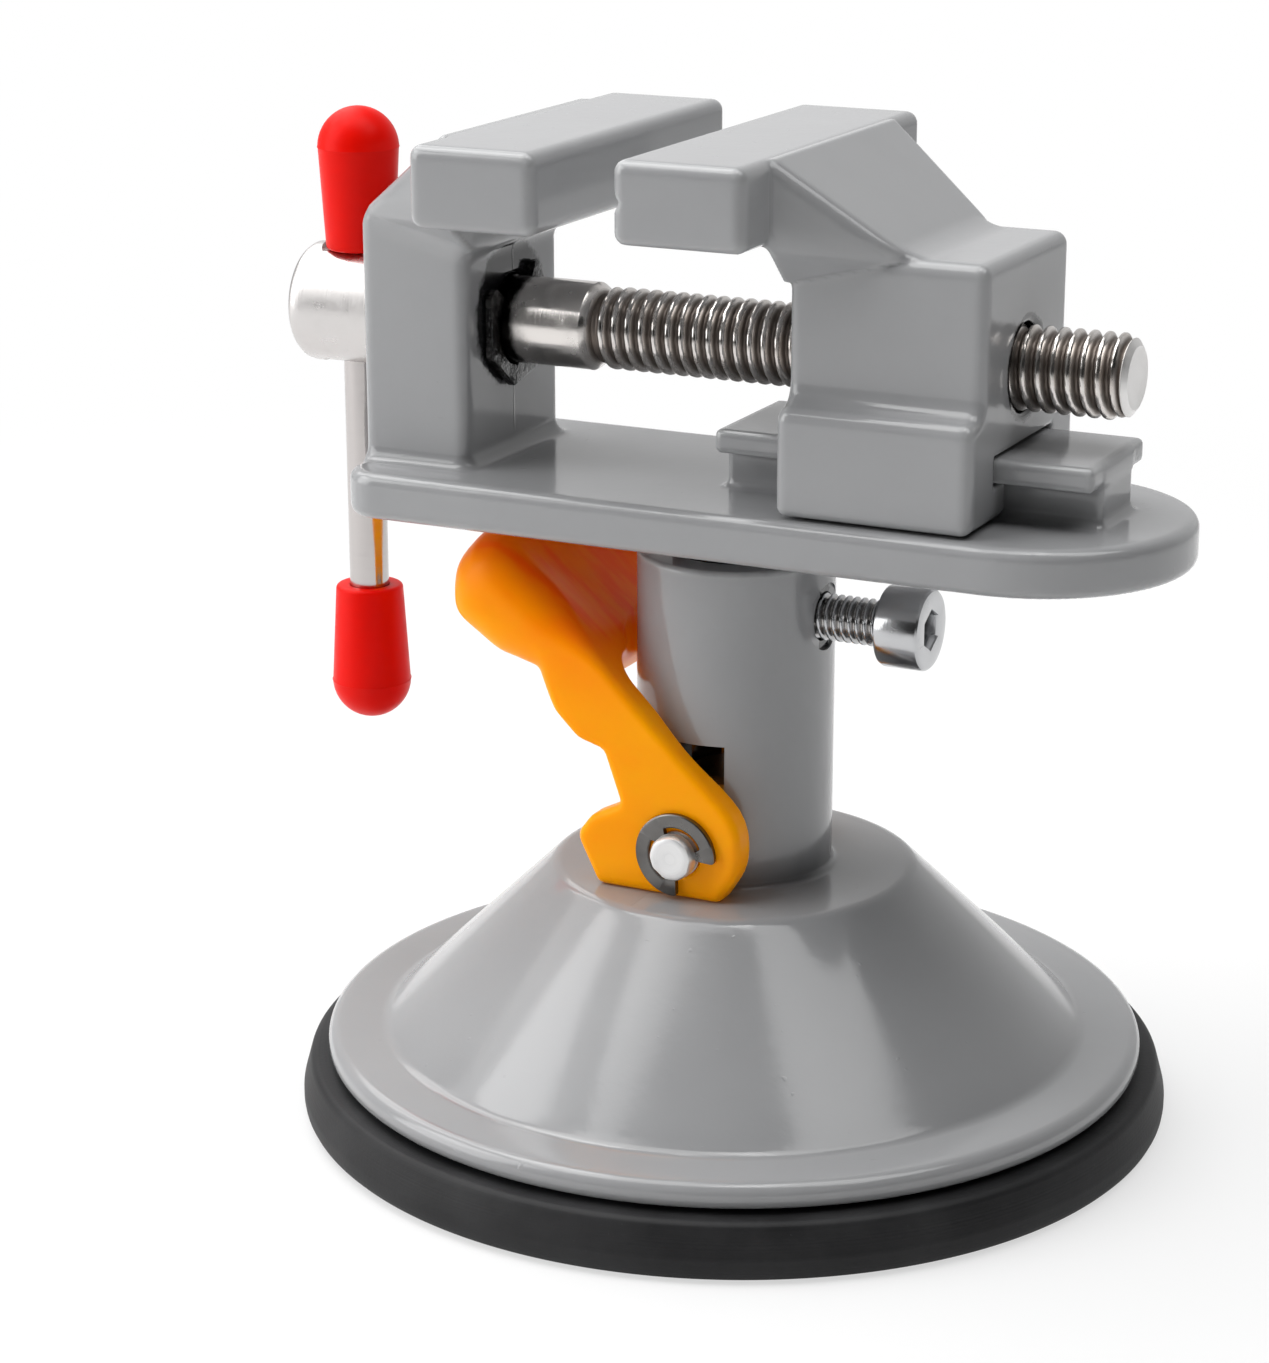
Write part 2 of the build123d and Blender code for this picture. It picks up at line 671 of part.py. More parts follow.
# ---------------------------------------------------------------- moving_jaw
moving_flare = jaw_flare(body_thick - body_flat, body_top, body_half_width)
foot_bottom = plate_top + slide_gap
with BuildPart() as moving_jaw:
    with BuildSketch(Plane.YZ.offset(body_left)):
        with BuildLine():
            FilletPolyline(
                (0, foot_bottom),
                (foot_half_width, foot_bottom),
                (foot_half_width, foot_top),
                (body_half_width, foot_top),
                (body_half_width, body_top),
                (0, body_top),
                radius=(body_edge_round, body_edge_round, foot_fillet, body_edge_round),
            )
            Line((0, body_top), (0, foot_bottom))
        make_face()
        mirror(about=Plane.YZ)
    extrude(amount=body_thick)
    end_rim = moving_jaw.faces().sort_by(Axis.X)[-1].edges()
    fillet(end_rim, radius=body_edge_round / 2)
    with Locations((body_left, 0, 0)):
        add(moving_flare)
    add(jaw_block(moving_face))
    # channel that runs on the T-rail
    with BuildSketch(Plane.YZ.offset(body_left)):
        with Locations((0, (plate_top + rail_flange_bottom) / 2)):
            Rectangle(2 * (rail_stem_half + slide_gap), rail_flange_bottom - plate_top)
        with Locations((0, rail_flange_bottom + rail_flange_thick / 2)):
            Rectangle(2 * (rail_flange_half + slide_gap), rail_flange_thick + 2 * slide_gap)
    extrude(amount=body_thick, mode=Mode.SUBTRACT)
    with BuildSketch(Plane.YZ.offset(body_left)):
        with Locations((0, screw_height)):
            Circle(screw_radius + thread_gap)
    extrude(amount=body_thick, mode=Mode.SUBTRACT)
    # groove for round work across the gripping face
    with BuildSketch(Plane.XZ):
        with Locations((moving_face, pipe_groove_height)):
            Rectangle(pipe_groove_depth * sqrt(2), pipe_groove_depth * sqrt(2), rotation=45)
    extrude(amount=jaw_half_width, both=True, mode=Mode.SUBTRACT)
moving_jaw.part.label = "moving_jaw"
export_step(moving_jaw.part, "parts/moving_jaw.step")

# ---------------------------------------------------------------- lead_screw
with BuildPart() as lead_screw:
    with BuildSketch(Plane.XZ):
        thread_start = screw_shank_right + screw_runout
        thread_stop = screw_right - screw_end_chamfer
        with BuildLine():
            Polyline(
                (screw_head_left, screw_height),
                (screw_head_left, screw_height + screw_head_radius),
                (screw_head_right, screw_height + screw_head_radius),
                (screw_head_right, screw_height + screw_shank_radius),
                (screw_clip_left, screw_height + screw_shank_radius),
                (screw_clip_left, screw_height + screw_groove_radius),
                (screw_clip_left + screw_clip_thick, screw_height + screw_groove_radius),
                (screw_clip_left + screw_clip_thick, screw_height + screw_shank_radius),
                (screw_shank_right, screw_height + screw_shank_radius),
                (thread_start, screw_height + screw_radius - screw_thread_depth),
                *[
                    (x, screw_height + r)
                    for x, r in thread_outline(
                        screw_radius, screw_thread_depth, screw_pitch, thread_start, thread_stop
                    )
                ],
                (thread_stop, screw_height + screw_radius),
                (screw_right, screw_height + screw_radius - screw_end_chamfer),
                (screw_right, screw_height + screw_cup_radius),
                (screw_right - screw_cup_depth, screw_height),
                close=True,
            )
        make_face()
    revolve(axis=Axis((0, 0, screw_height), (1, 0, 0)))
    head_rims = lead_screw.edges().filter_by(GeomType.CIRCLE).sort_by(SortBy.RADIUS)[-2:]
    fillet(head_rims, radius=screw_head_round)
    with BuildSketch(Plane.XY.offset(screw_height)):
        with Locations((bar_x, 0)):
            Circle(bar_radius + running_gap)
    extrude(amount=2 * screw_head_radius, both=True, mode=Mode.SUBTRACT)
    # spot faces that the caps come to rest on
    for way in (-1, 1):
        with BuildSketch(Plane.XY.offset(screw_height + way * screw_head_flat)):
            with Locations((bar_x, 0)):
                Circle(screw_head_spot)
        extrude(amount=way * screw_head_radius, mode=Mode.SUBTRACT)
lead_screw.part.label = "lead_screw"
export_step(lead_screw.part, "parts/lead_screw.step")

# ---------------------------------------------------------------- screw_clip
with BuildPart() as screw_clip:
    with Locations(Plane((screw_clip_left, 0, screw_height), x_dir=(0, 1, 0), z_dir=(1, 0, 0))):
        add(retaining_clip(screw_clip_radius, screw_groove_radius, screw_clip_thick, screw_clip_turn))
screw_clip.part.label = "screw_clip"
export_step(screw_clip.part, "parts/screw_clip.step")

# ---------------------------------------------------------------- handle_bar
with BuildPart() as handle_bar:
    with BuildSketch(Plane.XY.offset(bar_low_mouth - bar_in_cap)):
        with Locations((bar_x, 0)):
            Circle(bar_radius)
    extrude(amount=bar_span + 2 * bar_in_cap)
    chamfer(handle_bar.edges().filter_by(GeomType.CIRCLE), length=pin_chamfer)
handle_bar.part.label = "handle_bar"
export_step(handle_bar.part, "parts/handle_bar.step")

# ---------------------------------------------------------------- upper_cap and lower_cap
# the domed end is a spherical bowl that starts at the belly and closes on the bar's axis
dome_radius = (cap_belly_radius**2 + cap_dome_height**2) / (2 * cap_dome_height)
dome_centre = cap_dome_height - dome_radius
dome_middle = (radians(90) - asin(dome_centre / dome_radius)) / 2
dome_knee = (dome_radius * cos(dome_middle), dome_centre + dome_radius * sin(dome_middle))
for cap_name, mouth, way in (("upper_cap", bar_high_mouth, 1), ("lower_cap", bar_low_mouth, -1)):
    belly = mouth + way * (cap_length - cap_dome_height)
    with BuildPart() as bar_cap:
        with BuildSketch(Plane.XZ):
            with BuildLine():
                Polyline(
                    (bar_x, mouth + way * cap_length),
                    (bar_x, mouth),
                    (bar_x + cap_neck_radius - cap_mouth_round, mouth),
                    (bar_x + cap_neck_radius, mouth + way * cap_mouth_round),
                    (bar_x + cap_belly_radius, belly),
                )
                ThreePointArc(
                    (bar_x + cap_belly_radius, belly),
                    (bar_x + dome_knee[0], belly + way * dome_knee[1]),
                    (bar_x, mouth + way * cap_length),
                )
            make_face()
        revolve(axis=Axis((bar_x, 0, 0), (0, 0, 1)))
        with BuildSketch(Plane.XY.offset(mouth)):
            with Locations((bar_x, 0)):
                Circle(bar_radius + press_gap)
        extrude(amount=way * (bar_in_cap + press_gap), mode=Mode.SUBTRACT)
    bar_cap.part.label = cap_name
    export_step(bar_cap.part, "parts/" + cap_name + ".step")
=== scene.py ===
# A small hobby vise on a lever-operated suction base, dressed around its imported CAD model.
# Lengths are in millimetres, and a mesh and a shader's places are in metres. Turns are in degrees.
import math

import bmesh
import bpy
import numpy as np
from mathutils import Matrix


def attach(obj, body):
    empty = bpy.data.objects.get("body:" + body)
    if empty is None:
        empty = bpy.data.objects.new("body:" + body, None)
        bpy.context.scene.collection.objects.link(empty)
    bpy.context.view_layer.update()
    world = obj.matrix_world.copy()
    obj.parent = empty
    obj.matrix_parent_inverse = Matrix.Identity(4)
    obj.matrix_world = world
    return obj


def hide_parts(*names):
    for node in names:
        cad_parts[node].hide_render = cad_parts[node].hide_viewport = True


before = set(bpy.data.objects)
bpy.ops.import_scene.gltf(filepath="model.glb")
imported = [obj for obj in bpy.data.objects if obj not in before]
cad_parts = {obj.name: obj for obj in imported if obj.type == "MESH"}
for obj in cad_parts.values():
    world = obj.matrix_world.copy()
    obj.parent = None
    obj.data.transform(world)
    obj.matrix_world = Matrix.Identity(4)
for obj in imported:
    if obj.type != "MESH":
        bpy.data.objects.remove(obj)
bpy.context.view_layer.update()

# ------------------------------------------------------------------------------------ suction cup
# The suction cup is a flat disc of matte black rubber, compression moulded in two halves.
# Its side draws in towards the top and keeps the fine rings of the turned mould.
pad_radius = 38.09
pad_top_radius = 37.3
pad_thick = 5.0
pad_upright = 2.1
pad_round = 0.8
pad_foot_round = 1.3
pad_waist_round = 2.0
pad_recess_radius = 13.05
pad_recess_floor = 2.25
pad_black = (0.007, 0.007, 0.008, 1)
pad_dust = (0.05, 0.05, 0.052, 1)


class Wire:
    """A node's output that works in Python expressions: every operator adds its Math node."""

    def __init__(self, finish, socket):
        self.finish = finish
        self.socket = socket

    def maths(self, operation, first, second):
        return self.finish.node("ShaderNodeMath", {"operation": operation}, {0: first, 1: second})

    def __add__(self, other):
        return self.maths("ADD", self, other)

    def __radd__(self, other):
        return self.maths("ADD", other, self)

    def __sub__(self, other):
        return self.maths("SUBTRACT", self, other)

    def __rsub__(self, other):
        return self.maths("SUBTRACT", other, self)

    def __mul__(self, other):
        return self.maths("MULTIPLY", self, other)

    def __rmul__(self, other):
        return self.maths("MULTIPLY", other, self)

    def __pow__(self, other):
        return self.maths("POWER", self, other)


class Finish:
    """A surface finish: the nodes of one material, or of the room's light."""

    def __init__(self, name, kind="materials", place="Object"):
        self.material = getattr(bpy.data, kind).new(name)
        self.material.use_nodes = True
        self.tree = self.material.node_tree
        self.tree.nodes.clear()
        self.place = self.node("ShaderNodeTexCoord", out=place)

    def node(self, kind, settings=None, sockets=None, out=0):
        """Adds a node, with its settings first and then its sockets' values or links."""
        made = self.tree.nodes.new(kind)
        for key, value in (settings or {}).items():
            setattr(made, key, value)
        for key, value in (sockets or {}).items():
            if isinstance(value, Wire):
                self.tree.links.new(value.socket, made.inputs[key])
            else:
                made.inputs[key].default_value = value
        return Wire(self, made.outputs[out]) if len(made.outputs) else made

    def grain(self, size, detail=2.0, rough=0.5, place=None):
        """Soft noise from 0 to 1 whose blobs are about this many millimetres across."""
        sockets = {"Vector": place or self.place, "Scale": 1000 / size, "Detail": detail, "Roughness": rough}
        return self.node("ShaderNodeTexNoise", None, sockets)

    def step(self, value, low, high, first=0.0, last=1.0):
        """Smooth step of a value: first up to low, last from high on."""
        sockets = {"Value": value, "From Min": low, "From Max": high, "To Min": first, "To Max": last}
        return self.node("ShaderNodeMapRange", {"interpolation_type": "SMOOTHSTEP"}, sockets)

    def span(self, value, low, high, first=0.0, last=1.0):
        """The same step of a length in metres, between two limits in millimetres."""
        return self.step(value, low / 1000, high / 1000, first, last)

    def coats(self, tone, *coats):
        """Colour with coats laid over it, each with its share from 0 to 1 and its colour."""
        for share, colour in coats:
            tone = self.node("ShaderNodeMix", {"data_type": "RGBA"}, {0: share, 6: tone, 7: colour}, out=2)
        return tone

    def mark(self, name):
        """The value that the piece's points carry under this name."""
        return self.node("ShaderNodeAttribute", {"attribute_name": name}, out="Fac")

    def axes(self, place=None):
        """The X, Y and Z of a place, one wire each, in metres."""
        split = self.node("ShaderNodeSeparateXYZ", None, {0: place or self.place})
        return [Wire(self, output) for output in split.socket.node.outputs]

    def joined(self, x, y, z):
        """The place with this X, Y and Z."""
        return self.node("ShaderNodeCombineXYZ", None, {0: x, 1: y, 2: z})

    def bump(self, *layers):
        """Normal of reliefs laid over each other, each a height from 0 to 1 and the millimetres
        that it stands high."""
        normal = {}
        for height, amount in layers:
            sockets = {"Height": height, "Distance": amount / 1000, "Strength": 1.0, **normal}
            normal = {"Normal": self.node("ShaderNodeBump", None, sockets)}
        return normal["Normal"]

    def cover(self, **sockets):
        """Ends the material in a Principled shader with these sockets, underscores read as spaces."""
        named = {key.replace("_", " "): value for key, value in sockets.items()}
        shader = self.node("ShaderNodeBsdfPrincipled", None, named)
        self.node("ShaderNodeOutputMaterial", None, {"Surface": shader})
        return self.material


def from_axis(first, second):
    """Distance from an axis: the root of the sum of the squares of the two places across it."""
    return (first * first + second * second) ** 0.5


def softened(corners, radii, steps=6):
    """Closed path whose corners P become arcs between their tangent points A and B, as the rational
    Bezier ((1-s)^2 A + 2 s (1-s) w P + s^2 B) / ((1-s)^2 + 2 s (1-s) w + s^2), with w the sine of
    half the corner's angle. A corner of radius 0 stays sharp."""
    corner = np.array(corners, float)
    back = np.roll(corner, 1, 0) - corner
    ahead = np.roll(corner, -1, 0) - corner
    back /= np.linalg.norm(back, axis=1, keepdims=True)
    ahead /= np.linalg.norm(ahead, axis=1, keepdims=True)
    half = np.arccos(np.clip((back * ahead).sum(1), -1, 1)) / 2
    reach = (np.array(radii, float) / np.tan(half))[:, None]
    s = np.linspace(0, 1, steps)[None, :, None]
    first = (corner + back * reach)[:, None]
    last = (corner + ahead * reach)[:, None]
    weight = 2 * s * (1 - s) * np.sin(half)[:, None, None]
    arc = (1 - s) ** 2 * first + weight * corner[:, None] + s**2 * last
    return (arc / ((1 - s) ** 2 + weight + s**2)).reshape(-1, 2)


def divided(path, longest):
    """Closed path with its long runs cut into equal steps no longer than this."""
    ends = np.roll(path, -1, 0)
    counts = np.maximum(np.ceil(np.linalg.norm(ends - path, axis=1) / longest), 1).astype(int)
    run = np.repeat(np.arange(len(path)), counts)
    share = (np.arange(len(run)) - np.repeat(np.cumsum(counts) - counts, counts)) / counts[run]
    return path[run] + (ends - path)[run] * share[:, None]


def turned(path, columns):
    """Grid of a path of (radius, height) turned about Z: (r cos a, r sin a, h) for each angle a."""
    angle = np.linspace(0, 2 * np.pi, columns, endpoint=False)
    radius, height = path[:, :1], path[:, 1:]
    return np.stack([radius * np.cos(angle), radius * np.sin(angle), height + 0 * angle], -1)


def grid_faces(rows, columns, rows_close=True):
    """Four-cornered faces of a grid of points whose columns always close on themselves."""
    row = np.arange(rows if rows_close else rows - 1)[:, None]
    column = np.arange(columns)[None]
    here, above = row * columns, (row + 1) % rows * columns
    after = (column + 1) % columns
    return np.stack([here + column, here + after, above + after, above + column], -1).reshape(-1, 4)


def fitted(piece, body, node, slot, finish):
    """Gives a piece its finish, the body it rides on and the CAD node it stands for. The slot is not used.
    """
    piece.data.materials.clear()
    piece.data.materials.append(finish)
    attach(piece, body)
    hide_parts(node)


def made_piece(name, points, faces, crease=35, closed=True, **fit):
    """Mesh object of these points and faces, doubles merged and faces outwards, fitted if it says
    how. Edges that bend more than the crease in degrees stay sharp."""
    mesh = bpy.data.meshes.new(name)
    mesh.from_pydata(np.asarray(points, float).reshape(-1, 3) / 1000, [], faces)
    if closed:
        work = bmesh.new()
        work.from_mesh(mesh)
        bmesh.ops.remove_doubles(work, verts=work.verts, dist=2e-6)
        bmesh.ops.dissolve_degenerate(work, edges=work.edges, dist=1e-7)
        bmesh.ops.recalc_face_normals(work, faces=work.faces)
        work.to_mesh(mesh)
        work.free()
    mesh.shade_smooth()
    mesh.set_sharp_from_angle(angle=math.radians(crease))
    piece = bpy.data.objects.new(name, mesh)
    bpy.context.scene.collection.objects.link(piece)
    if fit:
        fitted(piece, **fit)
    return piece


pad_corners = [
    (0, 0),
    (pad_radius, 0),
    (pad_radius, pad_upright),
    (pad_top_radius, pad_thick),
    (pad_recess_radius, pad_thick),
    (pad_recess_radius, pad_recess_floor),
    (0, pad_recess_floor),
]
pad_path = softened(pad_corners, [0, pad_foot_round, pad_waist_round, pad_round, 0.1, 0, 0])
pad_path = divided(pad_path, 3.0)
rubber = Finish("moulded_black_rubber")
pad_x, pad_y, pad_z = rubber.axes()
pad_rings = rubber.joined(from_axis(pad_x, pad_y) * 6.0, pad_z * 9.0, 0.0)
pad_mottle = rubber.grain(9.0, 4.0)
pad_speck = rubber.step(rubber.grain(0.5, 3.0, 0.7), 0.66, 0.8)
pad_tone = rubber.step(pad_mottle, 0.35, 0.75, 0.0, 0.35) + pad_speck * 0.35
pad_columns = 288
made_piece(
    "rubber_pad",
    turned(pad_path, pad_columns),
    grid_faces(len(pad_path), pad_columns),
    body="base",
    node="suction_cup",
    slot="black_rubber",
    finish=rubber.cover(
        Base_Color=rubber.coats(pad_black, (pad_tone, pad_dust)),
        Roughness=0.5 + 0.14 * pad_mottle,
        Specular_IOR_Level=0.35,
        Normal=rubber.bump(
            (rubber.grain(0.35, 3.0, 0.6), 0.018),
            (rubber.grain(2.6, 2.0, place=pad_rings), 0.03),
        ),
    ),
)

# ---------------------------------------------------------------------- stiffening plate and stud
# A steel plate is moulded in the rubber's middle, and a turned stud is riveted to it.
# Both keep their CAD shapes and get bare steel: rolled on the plate, turned rings on the stud.


def bare_steel(name, colour, shine, axis=None, centre=(0, 0, 0), ring=0.25, depth=0.004, stain=0.12):
    """Plain steel. With an axis, fine turning rings run round it: noise that only changes along
    the axis and with the distance from it, so its end faces get circles."""
    steel = Finish(name)
    moved = steel.node("ShaderNodeVectorMath", {"operation": "SUBTRACT"}, {0: steel.place, 1: centre})
    parts = steel.axes(moved)
    cloud = steel.grain(3.0, 5.0, 0.6)
    layers = [(steel.grain(0.3, 2.0), 0.003)]
    if axis is not None:
        along = parts.pop(axis)
        turns = steel.grain(ring, 3.0, 0.65, steel.joined(along, from_axis(*parts), parts[0] * 0.02))
        layers.append((turns, depth))
        cloud = 0.5 * cloud + 0.5 * turns
    dull = tuple(part * 0.62 for part in colour[:3]) + (1,)
    return steel.cover(
        Base_Color=steel.coats(colour, (steel.step(cloud, 0.4, 0.75, 0, stain * 4), dull)),
        Roughness=steel.step(cloud, 0.3, 0.75, shine, shine + 0.16),
        Metallic=1.0,
        Normal=steel.bump(*layers),
    )


for kept_node, kept_finish in (
    ("insert_plate", bare_steel("rolled_steel", (0.5, 0.49, 0.47, 1), 0.34)),
    ("lift_stud", bare_steel("turned_steel", (0.55, 0.54, 0.53, 1), 0.28, axis=2)),
):
    kept_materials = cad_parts[kept_node].data.materials
    kept_materials.clear()
    kept_materials.append(kept_finish)

# ---------------------------------------------------------------------------------- base housing
# The housing is one zinc casting under glossy mid-grey paint: a rim, a cone with a flat shoulder
# and a column that is slotted on both sides for the pin and drilled on one for the clamp screw.
rim_radius = 35.8
rim_bottom = 5.2
flange_top = 7.5
rim_round = 1.1
cone_foot_radius = 30.6
cone_foot_fillet = 1.5
shoulder_radius = 15.6
shoulder_height = 22.1
shoulder_round = 1.6
shell_wall = 2.6
wall_across = 3.71
column_radius = 8.5
column_top = 50.1
column_top_round = 0.45
column_foot_fillet = 0.7
socket_radius = 5.55
socket_floor = 37.45
stud_bore = 4.1
window_half = 2.7
window_top = 34.903
clamp_height = 45.0
clamp_hole = 2.12
clamp_spot_radius = 2.9
clamp_spot_depth = 0.35
paint_grey = (0.315, 0.318, 0.325, 1)
paint_thin = (0.40, 0.405, 0.41, 1)
paint_worn = (0.46, 0.465, 0.47, 1)
# Darker paint for hollows: pooled paint and painted shade.
paint_pooled_and_shaded = (0.17, 0.172, 0.178, 1)
paint_ridge = (0.6, 0.6, 0.6, 1)
# Black for grime, and for the painted shade of dark hollows.
soot_black = (0.012, 0.012, 0.013, 1)


def cast_paint(name, parting=None):
    """Glossy grey paint on a casting: large soft waves, fine orange peel and a few nibs. The mark
    named edge thins the paint on edges and darkens hollows with pooled paint and painted shade,
    and the second mark paints black grime and the black painted shade of dark hollows. A parting
    line is a low ridge where Y is zero, between its two X and above its Z, in millimetres."""
    paint = Finish(name)
    edge, soot = paint.mark("edge"), paint.mark("soot")
    drift = paint.grain(14.0, 3.0)
    nib = paint.step(paint.grain(0.9, 1.0), 0.74, 0.82)
    layers = [(paint.grain(7.0, 1.0), 0.02), (paint.grain(1.0, 3.0, 0.6), 0.009), (nib, 0.012)]
    patchy = paint.step(paint.grain(2.0, 3.0), 0.3, 0.6, 0.4, 1.0)
    # Paler worn paint on convex edges, darker pooled paint and painted shade in hollows, then black grime
    # and black painted shade.
    coats = [
        (paint.step(edge, 0.15, 0.7, 0.0, 0.8) * patchy, paint_worn),
        (paint.step(edge, -0.15, -0.8, 0.0, 0.6), paint_pooled_and_shaded),
        (paint.step(soot + (paint.grain(1.3, 3.0, 0.6) - 0.5) * 0.6, 0.3, 0.6), soot_black),
    ]
    if parting:
        low, high, floor_level = parting
        along, across, above = paint.axes()
        across = across + (0.0005 * paint.grain(5.0, 2.0) - 0.00025)
        ridge = paint.step(across * across, 0.0, 0.00015**2, 1.0, 0.0)
        ridge = ridge * paint.span(along, low - 0.4, low) * paint.span(along, high, high + 0.2, 1, 0)
        ridge = ridge * paint.span(above, floor_level, floor_level + 2)
        layers.append((ridge, 0.08))
        coats.insert(0, (ridge * 0.8, paint_ridge))
    thinned = paint.step(drift, 0.25, 0.75, 0.0, 0.22)
    return paint.cover(
        Base_Color=paint.coats(paint_grey, (thinned, paint_thin), *coats),
        Roughness=paint.step(drift, 0.2, 0.8, 0.1, 0.16),
        Specular_IOR_Level=0.65,
        Normal=paint.bump(*layers),
    )


def marked(piece, **marks):
    """Puts named values from 0 to 1 on a piece's points, each worked out from their X, Y and Z in mm."""
    mesh = piece.data
    flat = np.empty(len(mesh.vertices) * 3)
    mesh.vertices.foreach_get("co", flat)
    x, y, z = flat.reshape(-1, 3).T * 1000
    for name, formula in marks.items():
        layer = mesh.attributes.new(name, "FLOAT", "POINT")
        layer.data.foreach_set("value", np.clip(formula(x, y, z), -1, 1).astype(np.float32))


def cut_out(piece, *cutters):
    """Takes the cutters' shapes out of a piece and leaves none of them in the scene."""
    for cutter in cutters:
        tool = piece.modifiers.new("cut", "BOOLEAN")
        tool.operation = "DIFFERENCE"
        tool.solver = "EXACT"
        tool.object = cutter
    bpy.context.view_layer.update()
    graph = bpy.context.evaluated_depsgraph_get()
    finished = bpy.data.meshes.new_from_object(piece.evaluated_get(graph))
    piece.modifiers.clear()
    piece.data = finished
    for cutter in cutters:
        bpy.data.objects.remove(cutter)
    return piece


def drill(name, radius, length, start, order=(0, 1, 2)):
    """Cylinder that cuts a hole or a spot face: turned about Z from its start up, or with its axes
    taken in another order."""
    path = np.array([(0, 0), (radius, 0), (radius, length), (0, length)], float)
    return made_piece(name, turned(path, 64)[..., order] + start, grid_faces(4, 64))


def near(value, place, width):
    """Bell curve: 1 at the place and 0 more than twice the width away."""
    return np.exp(-(((value - place) / width) ** 2))


housing_corners = [
    (socket_radius, column_top),
    (column_radius, column_top),
    (column_radius, shoulder_height),
    (shoulder_radius, shoulder_height),
    (cone_foot_radius, flange_top),
    (rim_radius, flange_top),
    (rim_radius, rim_bottom),
    (rim_radius - wall_across, rim_bottom),
    (cone_foot_radius - wall_across, rim_bottom),
    (shoulder_radius - shell_wall, shoulder_height - shell_wall),
    (stud_bore, shoulder_height - shell_wall),
    (stud_bore, socket_floor),
    (socket_radius, socket_floor),
]
housing_rounds = [0.25, column_top_round, column_foot_fillet, shoulder_round, cone_foot_fillet, rim_round]
housing_rounds += [1.0, 0.2, 0.5, 0.5, 0, 0, 0]
housing_path = divided(softened(housing_corners, housing_rounds, 8), 0.8)
housing_grid = turned(housing_path, 320)
housing = made_piece("painted_housing", housing_grid, grid_faces(len(housing_path), 320))
window_box = np.array([[x, y, z] for x in (-1, 1) for y in (-1, 1) for z in (0, 1)], float)
window_box *= (window_half, 2 * column_radius, window_top - shoulder_height + 0.01)
window_box += (0, 0, shoulder_height - 0.01)
box_faces = [(0, 1, 3, 2), (4, 6, 7, 5), (0, 4, 5, 1), (2, 3, 7, 6), (0, 2, 6, 4), (1, 5, 7, 3)]
along_x = (2, 0, 1)
spot_start = column_radius - clamp_spot_depth
cut_out(
    housing,
    made_piece("window_cutter", window_box, box_faces),
    drill("hole_cutter", clamp_hole, 6, (3.5, 0, clamp_height), along_x),
    drill("spot_cutter", clamp_spot_radius, 3, (spot_start, 0, clamp_height), along_x),
)
housing.data.set_sharp_from_angle(angle=math.radians(35))
marked(
    housing,
    # Paler worn paint on the column's top edge, and darker paint rising from the column's foot as painted
    # shade.
    edge=lambda x, y, z: 0.8 * near(np.hypot(x, y), column_radius, 0.5) * near(z, column_top, 0.5)
    - 0.9 * near(np.hypot(x, y), column_radius, 0.5) * np.exp((shoulder_height - z) / 3.5),
    # Black inside the column's windows, socket and bore: painted shade.
    soot=lambda x, y, z: np.where(np.hypot(x, y) < column_radius - 0.3, 0.97, 0.0)
    * np.where((z > shoulder_height) & (z < column_top - 0.6), 1.0, 0.0),
)
fitted(housing, "base", "base_housing", "grey_paint", cast_paint("housing_paint"))

# ------------------------------------------------------------------------------- pin and its clips
# The pivot pin is a cut length of bright 4 mm bar whose sheared ends keep flats and burrs.
# An E-clip, stamped from dark spring steel, sits in a groove at each end of it.
pin_height = 26.1
pin_radius = 2.0
pin_groove_radius = 1.6
clip_radius = 3.65
clip_inner = 11.55
clip_thick = 0.6
clip_outer = clip_inner + clip_thick
clip_turn = -46.0
pin_end = 13.1

pin_sheared = [(0, 0.07), (1.2, 0.02), (1.62, 0), (1.84, 0.08), (1.97, 0.3), (pin_radius, 0.6)]
pin_rows = [(radius, short - pin_end) for radius, short in pin_sheared]
pin_rows += [(pin_radius, -clip_outer), (pin_groove_radius, -clip_outer)]
pin_rows += [(pin_groove_radius, -clip_inner), (pin_radius, -clip_inner), (pin_radius, -6), (pin_radius, 0)]
pin_path = np.array(pin_rows + [(r, -h) for r, h in pin_rows[-2::-1]])
pin_grid = turned(pin_path, 48)
pin_angle = np.linspace(0, 2 * np.pi, 48, endpoint=False)
pin_flats = 1 - 0.045 * np.maximum(0, np.cos(3 * pin_angle + 0.5)) ** 3 - 0.02 * np.sin(5 * pin_angle) ** 2
pin_worn = np.where(np.abs(pin_path[:, 1]) > clip_outer + 0.01, 1.0, 0.0)[:, None]
pin_grid[..., :2] *= (1 + (pin_flats - 1) * pin_worn)[..., None]
pin_grid = pin_grid[..., [0, 2, 1]] + (0, 0, pin_height)
made_piece(
    "cross_pin",
    pin_grid,
    grid_faces(len(pin_path), 48, rows_close=False),
    body="stem",
    node="pivot_pin",
    slot="bright_steel",
    finish=bare_steel(
        "bright_pin_steel",
        (0.8, 0.8, 0.8, 1),
        0.42,
        axis=1,
        centre=(0, 0, pin_height / 1000),
        ring=0.3,
        depth=0.008,
        stain=0.06,
    ),
)


